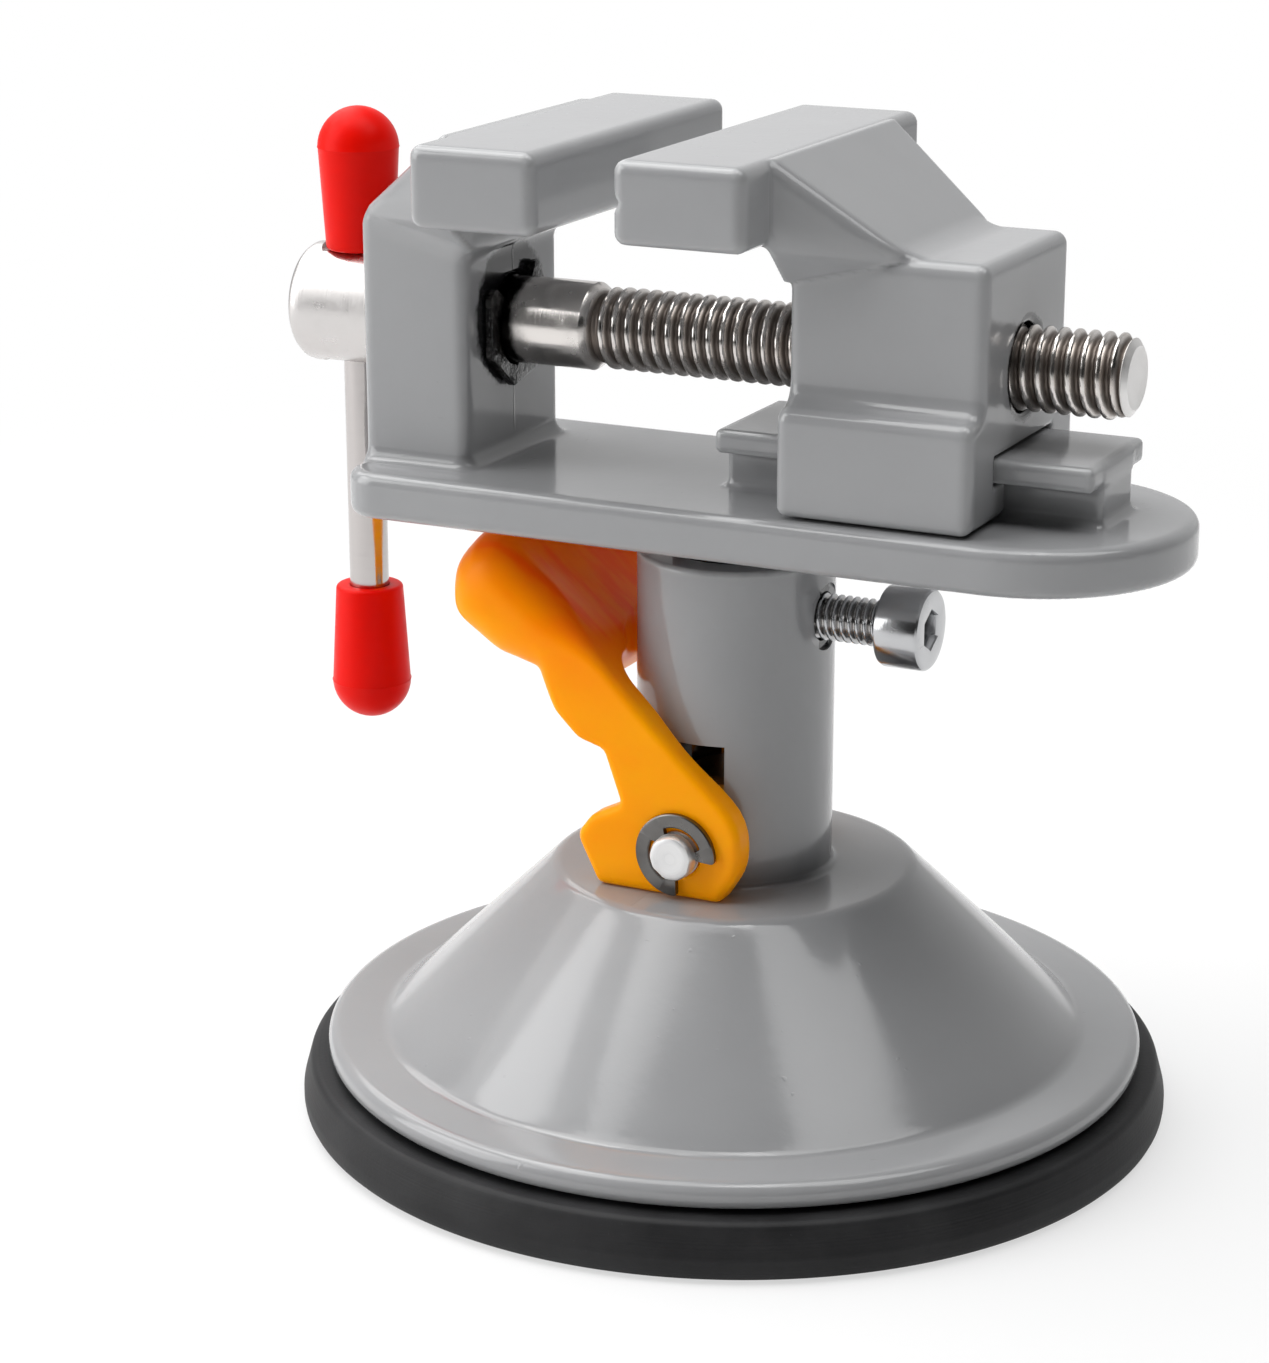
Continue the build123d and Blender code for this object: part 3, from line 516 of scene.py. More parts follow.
def clip_ring(outer, groove, thick, turn, flats=0):
    """E-clip as a grid, angle by cross-section: the section is a thin rounded rectangle from the
    inner to the outer radius, and the inner radius steps in to the groove at the three lugs. With
    flats, the outer edge is that polygon: cos(half a flat) / cos(angle from the flat's middle)."""
    angle = np.radians(np.linspace(turn + 42, turn + 318, 139))[:, None]
    off = np.degrees(angle) - turn
    pocket = groove + 0.42 * (outer - groove)
    lug = np.maximum(np.abs(off - 180) < 17, np.minimum(off, 360 - off) < 66)
    lug = np.convolve(lug[:, 0].astype(float), [0.25, 0.5, 0.25], "same")[:, None]
    lug[[0, -1]] = 1
    inner = pocket + (groove + 0.02 - pocket) * lug
    soft = 0.09
    across = np.array([0, 0, soft, 1 - soft, 1, 1, 1 - soft, soft])[None]
    above = np.array([soft, thick - soft, thick, thick, thick - soft, soft, 0, 0])[None]
    blunt = 1 - 0.04 * np.exp(-np.minimum(off - 42, 318 - off) / 2)
    if flats:
        half = np.pi / flats
        blunt = blunt * np.cos(half) / np.cos(angle % (2 * half) - half)
    radius = inner + (outer * blunt - inner) * across
    return np.stack([radius * np.cos(angle), radius * np.sin(angle), above + 0 * radius], -1)


def clip_faces(rows, columns):
    """Faces of the clip's grid with a lid on each end."""
    faces = grid_faces(rows, columns, rows_close=False).tolist()
    return faces + [list(range(columns)), list(range((rows - 1) * columns, rows * columns))[::-1]]


clip_steel = bare_steel("dark_spring_steel", (0.15, 0.145, 0.14, 1), 0.26, stain=0.15)
clip_grid = clip_ring(clip_radius, pin_groove_radius, clip_thick, clip_turn)
for clip_name, clip_side in (("front_clip", -1), ("rear_clip", 1)):
    made_piece(
        clip_name + "_stamping",
        clip_grid[..., [0, 2, 1]] * (1, clip_side, 1) + (0, clip_side * clip_inner, pin_height),
        clip_faces(*clip_grid.shape[:2]),
        body="stem",
        node=clip_name,
        slot="spring_steel",
        finish=clip_steel,
    )

# -------------------------------------------------------------------------------------- cam lever
# The lever is an orange plastic moulding: two cheeks with a pad-shaped nose and heel, joined by
# a thumb paddle. Its outline is a smooth closed curve, so it is cast from a distance field.
lean = math.radians(43.0)
cheek_outer = 11.5
cheek_inner = 8.8
fork_depth = 16.0
fork_corner = 3.0
lever_plan_end = 33.3
paddle_corner = 6.5
lever_clearance = 9.3
pin_hole = 2.05
rear_nose_reach = 3.9
rear_nose_round = 2.0
lever_orange = (1.0, 0.36, 0.0, 1)
lever_deep = (0.97, 0.24, 0.0, 1)
lever_pale = (1.0, 0.44, 0.005, 1)
# Deeper red-orange for the painted shadow of the plate on the paddle's top.
lever_shadow_red = (0.98, 0.1, 0.0, 1)
# Side view as corners (distance along the arm from the pin, distance square to it, corner radius)
lever_side = [
    (-1.96, 6.11, 4.95),
    (-4.77, 3.1, 4.95),
    (-5.42, -0.38, 0.8),
    (2.88, -8.12, 0.9),
    (7.25, -6.5, 1.2),
    (7.5, -4.2, 1.6),
    (6.4, -1.2, 0.6),
    (10.75, 1.05, 0.9),
    (13.0, -0.1, 2.0),
    (16.2, -0.05, 3.0),
    (19.7, 0.95, 0.7),
    (23.2, -1.45, 4.0),
    (28.6, -2.3, 3.4),
    (32.7, 0.1, 3.2),
    (32.9, 4.5, 2.4),
    (30.2, 6.1, 2.2),
    (24.0, 6.7, 6.0),
    (6.0, 6.15, 8.0),
]


def meet(first, second, rounding):
    """Common part of two shapes: the larger distance, or near their edge the distance from an arc."""
    corner = np.hypot(np.maximum(first + rounding, 0), np.maximum(second + rounding, 0))
    return np.minimum(np.maximum(first, second), -rounding) + corner


def join(first, second, fillet):
    """Two shapes together: the smaller distance, or in their corner the distance from a fillet."""
    corner = np.hypot(np.maximum(fillet - first, 0), np.maximum(fillet - second, 0))
    return np.maximum(np.minimum(first, second), fillet) - corner


def outline_distance(across, up, path):
    """Distance of points from a closed path, negative inside: the least distance to any of its
    runs, with the sign of an even or odd count of runs crossed on the way out."""
    px, py = across[..., None], up[..., None]
    ax, ay = path.T
    bx, by = np.roll(path, -1, 0).T
    ex, ey = bx - ax, by - ay
    share = np.clip(((px - ax) * ex + (py - ay) * ey) / (ex * ex + ey * ey), 0, 1)
    reach = np.min((px - ax - share * ex) ** 2 + (py - ay - share * ey) ** 2, -1) ** 0.5
    crossed = ((ay > py) != (by > py)) & (px < ex * (py - ay) / np.where(ey == 0, 1, ey) + ax)
    return np.where(crossed.sum(-1) % 2 == 1, -reach, reach)


def cast_skin(field, low, high, pitch):
    """Points and faces of the closed surface where a field is zero. The field is sampled on a grid.
    Each cell that the surface crosses gets one point, the mean of the crossings on its edges, and
    each crossed grid edge a face between its four cells; the points then follow the field's slope
    until it is zero there. Also gives the surface's bend at each point, positive on convex edges."""
    axes = [np.arange(a - 2.5 * pitch, b + 3 * pitch, pitch) for a, b in zip(low, high)]
    value = field(*np.meshgrid(*axes, indexing="ij", sparse=True)).astype(np.float32)
    cells = tuple(n - 1 for n in value.shape)
    total = np.zeros(cells + (3,), np.float32)
    count = np.zeros(cells, np.float32)
    edges, faces = [], []
    for axis in range(3):
        first, last = np.moveaxis(value, axis, 0)[:-1], np.moveaxis(value, axis, 0)[1:]
        cross = (first < 0) != (last < 0)
        share = np.where(cross, first / np.where(cross, first - last, 1), 0)
        edges.append(np.nonzero(np.moveaxis(cross, 0, axis)))
        counts, totals = np.moveaxis(count, axis, 0), np.moveaxis(total, axis, 0)
        others = [k for k in range(3) if k != axis]
        for one, two in ((0, 0), (0, 1), (1, 0), (1, 1)):
            pick = np.s_[:, one : one + counts.shape[1], two : two + counts.shape[2]]
            counts += cross[pick]
            totals[..., axis] += share[pick]
            totals[..., others[0]] += cross[pick] * one
            totals[..., others[1]] += cross[pick] * two
    mixed = count > 0
    number = np.full(cells, -1)
    number[mixed] = np.arange(mixed.sum())
    start = np.stack(np.nonzero(mixed), -1) + total[mixed] / count[mixed][:, None]
    points = start * pitch + np.array([axis[0] for axis in axes])
    for axis, at in enumerate(edges):
        back = np.roll([(0, 1, 1), (0, 0, 1), (0, 0, 0), (0, 1, 0)], axis, 1)
        ring = number[tuple(np.array(at)[:, :, None] - back.T[:, None])]
        hollow = value[at] >= 0
        ring[hollow] = ring[hollow][:, ::-1]
        faces.append(ring)

    def beside(reach):
        """The field up and down each axis from the points, by this reach."""
        return [[field(*(points + way * shift).T) for way in (1, -1)] for shift in reach * np.eye(3)]

    step, bend_reach = 0.02, 0.5
    for _ in range(4):
        slope = np.stack([up - down for up, down in beside(step)], -1) / (2 * step)
        size = np.maximum((slope**2).sum(1), 0.3)
        move = np.clip(field(*points.T) / size, -pitch / 2, pitch / 2)
        points = points - slope * move[:, None]
    bend = (np.sum(beside(bend_reach), (0, 1)) - 6 * field(*points.T)) / bend_reach
    return points, np.concatenate(faces), bend


def cast_piece(name, field, low, high, pitch, body, node, slot, finish, **marks):
    """Mesh piece of a field, with half its bend kept as the mark named edge."""
    points, faces, bend = cast_skin(field, low, high, pitch)
    piece = made_piece(name, np.clip(points, low, high), faces, 60, closed=False)
    marked(piece, edge=lambda x, y, z: bend * 0.5, **marks)
    fitted(piece, body, node, slot, finish)


lever_corners = [
    (
        across * math.sin(lean) - along * math.cos(lean),
        pin_height + across * math.cos(lean) + along * math.sin(lean),
    )
    for along, across, _ in lever_side
]
lever_outline = softened(lever_corners, [radius for _, _, radius in lever_side], 5)


def along_arm(x, z):
    """The place in the side view as a distance along the arm from the pin and one square to it."""
    up = z - pin_height
    return up * math.sin(lean) - x * math.cos(lean), x * math.sin(lean) + up * math.cos(lean)


def lever_field(x, y, z):
    """The outline's extrusion within a plan that is rounded at the paddle, softened more there,
    less the fork's slot, the column's clearance and the pin's hole, and dished for a thumb. The
    rear cheek's nose is cut off at a plane and rounded."""
    along, across = along_arm(x, z)
    side = outline_distance(x + 0 * z, z + 0 * x, lever_outline)
    side = np.where(y > 0, meet(side, x - rear_nose_reach, rear_nose_round), side)
    width = np.abs(y)
    paddle = np.clip((along - 15) / 9, 0, 1)
    soft = 0.7 + 2.7 * paddle * paddle * (3 - 2 * paddle)
    plan = meet(width - cheek_outer, along - lever_plan_end, paddle_corner)
    solid = meet(side, plan, soft)
    slot = meet(width - cheek_inner, along - fork_depth, fork_corner)
    solid = meet(solid, -slot, 0.5)
    solid = meet(solid, lever_clearance - np.hypot(x, y), 0.4)
    solid = meet(solid, pin_hole - np.hypot(x, z - pin_height), 0.15)
    dish = np.exp(-(((along - 24.5) / 5.5) ** 2) - (y / 7.5) ** 4) * np.clip((across - 3) / 3, 0, 1)
    return solid + 0.8 * dish


def painted_plate_shadow(x, y, z):
    """Share of the deeper colour, a painted shadow of the plate over the paddle's top: it rises with
    the height over the arm's middle and along the arm towards the paddle."""
    along, across = along_arm(x, z)
    crown = np.clip((across + 0.3) / 4.5, 0, 1) * np.clip((along - 10.0) / 8.0, 0, 1)
    return crown * np.clip((cheek_outer + 1.3 - np.abs(y)) / 3.2, 0, 1)


orange = Finish("orange_moulding")
lever_edge = orange.mark("edge")


def drawn_out(size, detail, stretch):
    """Noise of the plastic's flow, stretched along the arm by the inverse of its three scales."""
    sockets = {"Vector": orange.place, "Rotation": (0, lean, 0), "Scale": stretch}
    return orange.grain(size, detail, place=orange.node("ShaderNodeMapping", None, sockets))


lever_cloud = drawn_out(5.0, 3.0, (0.3, 1, 1))
lever_streaks = orange.step(drawn_out(2.6, 2.0, (0.25, 1.6, 0.6)), 0.3, 0.7, 0.72, 1.0)
lever_tone = orange.coats(
    lever_orange,
    (orange.step(lever_cloud, 0.3, 0.75, 0, 0.35), lever_deep),
    (orange.step(lever_edge, 0.2, 0.9, 0, 0.4), lever_pale),
    # Deeper orange in hollows: painted shade.
    (orange.step(lever_edge, -0.1, -0.8, 0, 0.6), lever_deep),
    # The deeper red-orange over the paddle's top is a painted shadow of the plate, streaked.
    (orange.mark("thumb") * lever_streaks, lever_shadow_red),
)
cast_piece(
    "orange_lever",
    lever_field,
    (-25.5, -cheek_outer, 22.0),
    (8.0, cheek_outer, 52.5),
    0.27,
    "lever",
    "cam_lever",
    "orange_plastic",
    orange.cover(
        Base_Color=lever_tone,
        Roughness=orange.step(lever_cloud, 0.2, 0.8, 0.3, 0.4),
        Specular_IOR_Level=0.09,
        Subsurface_Weight=0.3,
        Subsurface_Radius=(1.0, 0.28, 0.01),
        Subsurface_Scale=0.002,
        # The emission is a painted glow that brightens the orange, in the plate's shadow too.
        Emission_Color=lever_tone,
        Emission_Strength=0.12,
        Normal=orange.bump((orange.grain(4.0, 1.0), 0.03), (orange.grain(0.6, 2.0), 0.004)),
    ),
    # Share of the painted shadow of the plate.
    thumb=painted_plate_shadow,
)

# ------------------------------------------------------------------------------------ clamp screw
# The clamp screw is a zinc-plated M4 socket cap screw, cold headed with a rolled thread.
# Its point holds the head's swivel post in the column, and its head stands off the column.
clamp_point = 4.3
clamp_head = 13.9
clamp_end = 17.9
clamp_major = 2.0
clamp_root = 1.62
clamp_pitch = 0.7
clamp_head_radius = 3.5
clamp_key = 3.0
clamp_key_depth = 2.0


def screw_thread(start, stop, outer, root, pitch, columns, per_turn):
    """Grid of a right-hand thread along X: the radius swings between root and outer as a clipped
    triangle wave of (x / pitch - angle / full turn), and fades to the root over its last half turns."""
    x = np.linspace(start, stop, int((stop - start) / pitch * per_turn) + 1)[:, None]
    angle = np.linspace(0, 2 * np.pi, columns, endpoint=False)[None]
    phase = (x / pitch - angle / (2 * np.pi)) % 1
    tooth = np.clip(1.45 * (1 - np.abs(2 * phase - 1)) - 0.2, 0, 1)
    tooth = tooth * tooth * (3 - 2 * tooth) * 0.35 + tooth * 0.65
    fade = np.clip((x - start) / (0.8 * pitch), 0, 1) * np.clip((stop - x) / (0.5 * pitch), 0, 1)
    radius = root + (outer - root) * tooth * fade
    return np.stack([x + 0 * angle, radius * np.cos(angle), radius * np.sin(angle)], -1)


def rows_about_x(rows, columns):
    """Grid of (x, radius) rows turned about X: (x, r cos a, r sin a) for each angle a."""
    x, radius = np.array(rows, float).T[..., None]
    angle = np.linspace(0, 2 * np.pi, columns, endpoint=False)[None]
    return np.stack([x + 0 * angle, radius * np.cos(angle), radius * np.sin(angle)], -1)


clamp_thread = screw_thread(clamp_point + 0.25, clamp_head, clamp_major, clamp_root, clamp_pitch, 72, 14)
clamp_front = rows_about_x([(clamp_point, 0), (clamp_point, 1.3), (clamp_point + 0.2, clamp_root)], 72)
clamp_rear = rows_about_x(
    [
        (clamp_head, clamp_major),
        (clamp_head, 3.1),
        (clamp_head + 0.1, 3.38),
        (clamp_head + 0.35, clamp_head_radius),
        (clamp_end - 0.42, clamp_head_radius),
        (clamp_end - 0.2, 3.44),
        (clamp_end - 0.05, 3.27),
        (clamp_end, 3.0),
        (clamp_end, 2.05),
    ],
    72,
)
socket_angle = np.linspace(0, 2 * np.pi, 72, endpoint=False)
socket_side = clamp_key / 2 / np.cos((socket_angle + np.pi / 6) % (np.pi / 3) - np.pi / 6)
socket_rows = [(clamp_end - 0.04, 1.06), (clamp_end - 0.22, 1.0), (clamp_end - clamp_key_depth, 1.0)]
socket_rows += [(clamp_end - clamp_key_depth - 0.5, 0.0)]
clamp_socket = rows_about_x(socket_rows, 72)
clamp_socket[..., 1:] *= socket_side[:, None]
clamp_grid = np.concatenate([clamp_front, clamp_thread, clamp_rear, clamp_socket]) + (0, 0, clamp_height)
zinc = Finish("bright_zinc_plate")
clamp_x, clamp_y, clamp_z = zinc.axes()
clamp_reach = from_axis(clamp_y, clamp_z - clamp_height / 1000)
clamp_cloud = zinc.grain(1.6, 4.0, 0.6)
# Darker in the thread's roots, up to the head.
clamp_root_darkening = zinc.span(clamp_reach, clamp_root + 0.03, clamp_major - 0.05, 0.75, 0.0)
clamp_root_darkening = clamp_root_darkening * zinc.span(clamp_x, clamp_head - 0.1, clamp_head + 0.1, 1.0, 0.0)
clamp_lines = zinc.grain(0.22, 3.0, 0.6, zinc.joined(clamp_x, clamp_reach, 0.0))
made_piece(
    "cap_screw",
    clamp_grid,
    grid_faces(len(clamp_grid), 72, rows_close=False),
    crease=28,
    body="clamp",
    node="clamp_screw",
    slot="zinc_steel",
    finish=zinc.cover(
        Base_Color=zinc.coats((0.5, 0.505, 0.515, 1), (clamp_root_darkening, (0.36, 0.345, 0.33, 1))),
        Roughness=zinc.step(clamp_cloud, 0.3, 0.8, 0.14, 0.3),
        Metallic=1.0,
        Normal=zinc.bump((clamp_lines, 0.006), (clamp_cloud, 0.01)),
    ),
)

# ---------------------------------------------------------------------------------- head casting
# The head is one painted zinc casting: the long plate, the upright with the fixed jaw, the rail
# that the other jaw runs on, and the grooved post that turns in the column's socket.
plate_left = -31.5
plate_right = 39.8
plate_half = 13.4
plate_bottom = 52.3
plate_top = 56.3
plate_corner = 3.5
upright_right = -21.3
upright_half = 8.5
body_top = 77.6
jaw_top = 85.2
jaw_bottom = 78.45
jaw_depth = 11.4
jaw_half = 18.2
jaw_soft = 1.0
fixed_left = -21.06
flare_half = 13.1
flare_low = 75.0
rail_left = 0.8
rail_right = 33.5
rail_stem = 3.8
rail_flange = 6.4
rail_flange_low = 59.7
rail_top = 61.7
screw_height = 67.95
post_radius = 5.5
post_bottom = 37.503
post_groove_depth = 1.3
post_groove_half = 2.3
post_groove_slope = 0.65
shank_bore = 3.82
shank_bore_end = -18.0


def slab(value, low, high):
    """Distance of a value from the span between two limits, negative inside."""
    return np.abs(value - (low + high) / 2) - (high - low) / 2


def jaw_block(x, width, z, left):
    """Gripping block with soft edges, its left face at this X."""
    block = meet(slab(x, left, left + jaw_depth), width - jaw_half, jaw_soft)
    return meet(block, slab(z, jaw_bottom, jaw_top), jaw_soft)


def jaw_flare(x, width, z, root, tip, tip_half):
    """Tapered neck behind a block, bounded by its sloping top, its drawn-in sides and the slanted
    planes under them, each plane as a signed distance."""
    way = 1 if tip > root else -1
    along = (x - root) * way
    length = abs(tip - root)
    top_run = math.hypot(jaw_top - body_top, length)
    top = (along * (jaw_top - body_top) + (z - jaw_top) * length) / top_run
    side_run = math.hypot(flare_half - tip_half, length)
    side = ((along - length) * (flare_half - tip_half) + (width - tip_half) * length) / side_run
    lean_in = np.cross(
        (-length, flare_half - tip_half, jaw_bottom - body_top), (-length, 0, flare_low - body_top)
    )
    lean_in = lean_in * (-1 if lean_in[2] > 0 else 1) / np.linalg.norm(lean_in)
    under = (along - length) * lean_in[0] + (width - tip_half) * lean_in[1] + (z - body_top) * lean_in[2]
    neck = meet(meet(top, side, 1.0), under, 1.1)
    neck = np.maximum(neck, flare_low - z)
    return meet(neck, -0.5 - along, 0.5), top


def below(z, height, fillet):
    """A fillet's radius that dies out over the last 1.5 mm under a height, where faces are flush."""
    return fillet * np.clip((height - z) / 1.5, 1e-3, 1)


def head_field(x, y, z):
    """Plate, upright with flare and jaw block, rail and post, joined by cast fillets."""
    width = np.abs(y)
    end = plate_right - plate_half
    side = np.hypot(np.maximum(x - end, 0), y) - plate_half
    plan = meet(side, plate_left - x, plate_corner)
    plate = meet(plan, slab(z, plate_bottom, plate_top), 0.95)
    flare, slope = jaw_flare(x, width, z, fixed_left, plate_left, upright_half)
    flare = meet(flare, plate_left - x, 1.0)
    upright = meet(slab(x, plate_left, upright_right), width - upright_half, 1.1)
    upright = np.maximum(meet(upright, slope, 1.0), plate_bottom + 2 - z)
    solid = join(upright, flare, below(z, body_top, 1.2))
    solid = join(solid, jaw_block(x, width, z, fixed_left), below(z, jaw_bottom + 1.5, 0.7))
    solid = np.maximum(join(solid, plate, 1.3), plate_left - x)
    rail_span = slab(x, rail_left, rail_right)
    stem = np.maximum(meet(width - rail_stem, rail_span, 0.5), z - rail_top + 0.6)
    stem = np.maximum(stem, plate_bottom + 2 - z)
    flange = meet(width - rail_flange, slab(z, rail_flange_low, rail_top), 0.5)
    flange = meet(flange, rail_span, 0.5)
    solid = join(solid, join(stem, flange, 0.35), 0.8)
    groove = np.clip((post_groove_half - np.abs(z - clamp_height)) / post_groove_slope, 0, 1)
    post = meet(np.hypot(x, y) - post_radius + post_groove_depth * groove, post_bottom - z, 0.5)
    post = np.maximum(post, z - plate_bottom - 2)
    solid = join(solid, post, 0.25)
    bore = np.hypot(y, z - screw_height) - shank_bore + np.maximum(x - shank_bore_end, 0)
    return meet(solid, -bore, 0.3)


cast_piece(
    "head_casting",
    head_field,
    (plate_left, -jaw_half, post_bottom),
    (plate_right - 0.01, jaw_half, jaw_top),
    0.34,
    "head",
    "vise_body",
    "grey_paint",
    cast_paint("head_paint", parting=(upright_right - 0.2, upright_right + 0.4, plate_top + 1.5)),
    # A grease ring round the clip on the upright; the black on the post under the plate and inside the
    # screw's bore is painted shade.
    soot=lambda x, y, z: near(np.hypot(y + 0.4, z - screw_height - 0.7), 4.6, 1.9)
    * np.where((x > upright_right - 0.8) & (x < upright_right + 0.3), 0.9, 0.0)
    + np.where((np.hypot(x, y) < 5.7) & (z < plate_bottom - 0.2), 0.95, 0.0)
    + np.where(np.hypot(y, z - screw_height) < 3.9, 0.8, 0.0) * np.where(x < upright_right + 0.3, 1.0, 0.0),
)

# ------------------------------------------------------------------------------------ moving jaw
# The moving jaw is a second painted casting that slides along the rail on its T-shaped channel.
# A shallow V across its gripping face seats round work, and its threaded bore takes the screw.
moving_face = -2.76
body_left = 8.64
body_right = 25.44
body_half = 9.5
foot_half = 12.0
foot_bottom = 56.5
foot_top = 65.45
body_flat = 6.5
groove_height = 81.8
groove_depth = 0.7
rail_play = 0.2
thread_bore = 3.64
thread_bore_end = 7.0


def jaw_field(x, y, z):
    """Body and foot with a fillet between them, the flare and the block, less the rail's channel,
    the screw's bore and the V groove."""
    width = np.abs(y)
    span = slab(x, body_left, body_right)
    body = meet(width - body_half, z - body_top, 1.2)
    foot = meet(width - foot_half, z - foot_top, 1.2)
    foot = meet(foot, foot_bottom - z, 0.7)
    body = np.maximum(body, foot_bottom + 3 - z)
    solid = meet(join(body, foot, 1.6), span, 1.0)
    flare, _ = jaw_flare(x, width, z, body_left, body_right - body_flat, body_half)
    solid = join(solid, flare, below(width, body_half, 1.0))
    solid = join(solid, jaw_block(x, width, z, moving_face), below(z, jaw_bottom + 1.5, 0.8))
    channel = np.maximum(width - rail_stem - rail_play, z - rail_flange_low)
    head = np.maximum(width - rail_flange - rail_play, slab(z, rail_flange_low, rail_top) - rail_play)
    solid = meet(solid, -np.minimum(channel, head), 0.35)
    bore = np.hypot(y, z - screw_height) - thread_bore + np.maximum(thread_bore_end - x, 0)
    solid = meet(solid, -bore, 0.35)
    groove = (np.abs(z - groove_height) + x - moving_face - groove_depth) * math.sqrt(0.5)
    return meet(solid, -groove, 0.2)


cast_piece(
    "jaw_casting",
    jaw_field,
    (moving_face, -jaw_half, foot_bottom),
    (body_right, jaw_half, jaw_top),
    0.31,
    "jaw",
    "moving_jaw",
    "grey_paint",
    cast_paint("jaw_paint"),
    soot=lambda x, y, z: near(np.hypot(y, z - screw_height), 3.6, 0.9)
    * np.where((x > body_right - 1.2) | (x < body_left + 0.8), 0.9, 0.0)
    * np.where(np.hypot(y, z - screw_height) < 6, 1.0, 0.0),
)

# ------------------------------------------------------------------------ lead screw and its clip
# The lead screw is nickel plated steel: a turned head, a plain shank that turns in the upright and
# a rolled thread, darker in its roots. A greasy black clip holds it in the upright.
head_left = -41.1
head_right = -31.6
head_radius = 5.25
head_flat = 4.77
head_spot = 3.4
shank_radius = 3.75
shank_right = -12.9
screw_radius = 3.5
screw_root = 2.88
screw_pitch = 1.25
screw_right = 34.74
clip_groove = 2.6
screw_clip_left = -21.2
screw_clip_radius = 5.8
screw_clip_thick = 0.7
screw_clip_turn = 100.0
bar_x = -36.35
bar_radius = 1.75

head_rows = [
    (head_left + 0.1, 0),
    (head_left, 3.2),
    (head_left, head_radius - 1.0),
    (head_left + 0.06, head_radius - 0.6),
    (head_left + 0.22, head_radius - 0.28),
    (head_left + 0.55, head_radius - 0.06),
    (head_left + 1.0, head_radius),
]
head_rows += [(x, head_radius) for x in np.arange(head_left + 1.5, head_right - 0.9, 0.4)]
head_rows += [
    (head_right - 0.8, head_radius),
    (head_right - 0.4, head_radius - 0.08),
    (head_right - 0.1, head_radius - 0.35),
    (head_right, head_radius - 0.8),
    (head_right, shank_radius),
    (screw_clip_left, shank_radius),
    (screw_clip_left, clip_groove),
    (screw_clip_left + screw_clip_thick, clip_groove),
    (screw_clip_left + screw_clip_thick, shank_radius),
    (shank_right - 0.25, shank_radius),
    (shank_right, shank_radius - 0.18),
    (shank_right + 0.45, screw_root),
]
screw_fade = 0.5
screw_thread_grid = screw_thread(
    shank_right + screw_fade, screw_right - screw_fade, screw_radius, screw_root, screw_pitch, 88, 16
)
screw_end_rows = [
    (screw_right - 0.5, screw_root + 0.25),
    (screw_right - 0.42, screw_root + 0.28),
    (screw_right - 0.06, 2.66),
    (screw_right, 2.55),
    (screw_right - 0.03, 2.3),
    (screw_right - 0.05, 1.2),
    (screw_right - 0.05, 0),
]
screw_parts = [rows_about_x(head_rows, 88), screw_thread_grid, rows_about_x(screw_end_rows, 88)]
screw_grid = np.concatenate(screw_parts) + (0, 0, screw_height)
nickel = Finish("nickel_plate")
nickel_x, nickel_y, nickel_z = nickel.axes()
nickel_reach = from_axis(nickel_y, nickel_z - screw_height / 1000)
nickel_cloud = nickel.grain(2.2, 5.0, 0.65)
nickel_thread = nickel.span(nickel_x, shank_right - 0.2, shank_right + 0.6)
nickel_end = nickel.span(nickel_x, screw_right - 0.6, screw_right - 0.3, 1.0, 0.0)
nickel_grease = nickel.span(nickel_x + (nickel_cloud - 0.5) * 0.0016, -19.9, -19.1, 1.0, 0.0)
# Darker in the thread's roots.
nickel_root = nickel.span(nickel_reach, screw_root + 0.07, screw_radius - 0.12, 1.0, 0.0)
nickel_root = nickel_root * nickel_thread * nickel_end
nickel_film = nickel.step(nickel_cloud, 0.42, 0.7, 0.0, 0.35) * nickel_thread
nickel_satin = nickel.span(nickel_x, head_right - 0.5, head_right + 0.5, 1.0, 0.0)
nickel_lines = nickel.joined(nickel_x, nickel_reach, nickel_y * 0.03)
nickel_rough = nickel.step(nickel_cloud + nickel_root * 0.6, 0.3, 1.1, 0.14, 0.5)
nickel_finish = nickel.cover(
    Base_Color=nickel.coats(
        (0.69, 0.66, 0.635, 1),
        (nickel_film, (0.44, 0.36, 0.3, 1)),
        (nickel_root * 0.85, (0.085, 0.06, 0.045, 1)),
        (nickel_grease, (0.015, 0.014, 0.013, 1)),
        (nickel_satin, (0.61, 0.59, 0.58, 1)),
        (1 - nickel_end, (0.86, 0.85, 0.84, 1)),
    ),
    Roughness=nickel_rough + (1 - nickel_end) * 0.3 + nickel_satin * 0.12,
    Metallic=1.0,
    Normal=nickel.bump(
        (nickel.grain(0.16, 3.0, 0.7, nickel_lines), 0.007),
        (nickel_cloud * (1 - nickel_satin), 0.012),
    ),
)
screw_piece = made_piece("nickel_screw", screw_grid, grid_faces(len(screw_grid), 88, rows_close=False), 32)
spot_deep = 3
upper_spot, lower_spot = screw_height + head_flat, screw_height - head_flat - spot_deep
cut_out(
    screw_piece,
    drill("bar_hole_cutter", bar_radius + 0.05, 16, (bar_x, 0, screw_height - 8)),
    drill("upper_spot_cutter", head_spot, spot_deep, (bar_x, 0, upper_spot)),
    drill("lower_spot_cutter", head_spot, spot_deep, (bar_x, 0, lower_spot)),
)
screw_piece.data.set_sharp_from_angle(angle=math.radians(32))
fitted(screw_piece, "screw", "lead_screw", "screw_steel", nickel_finish)

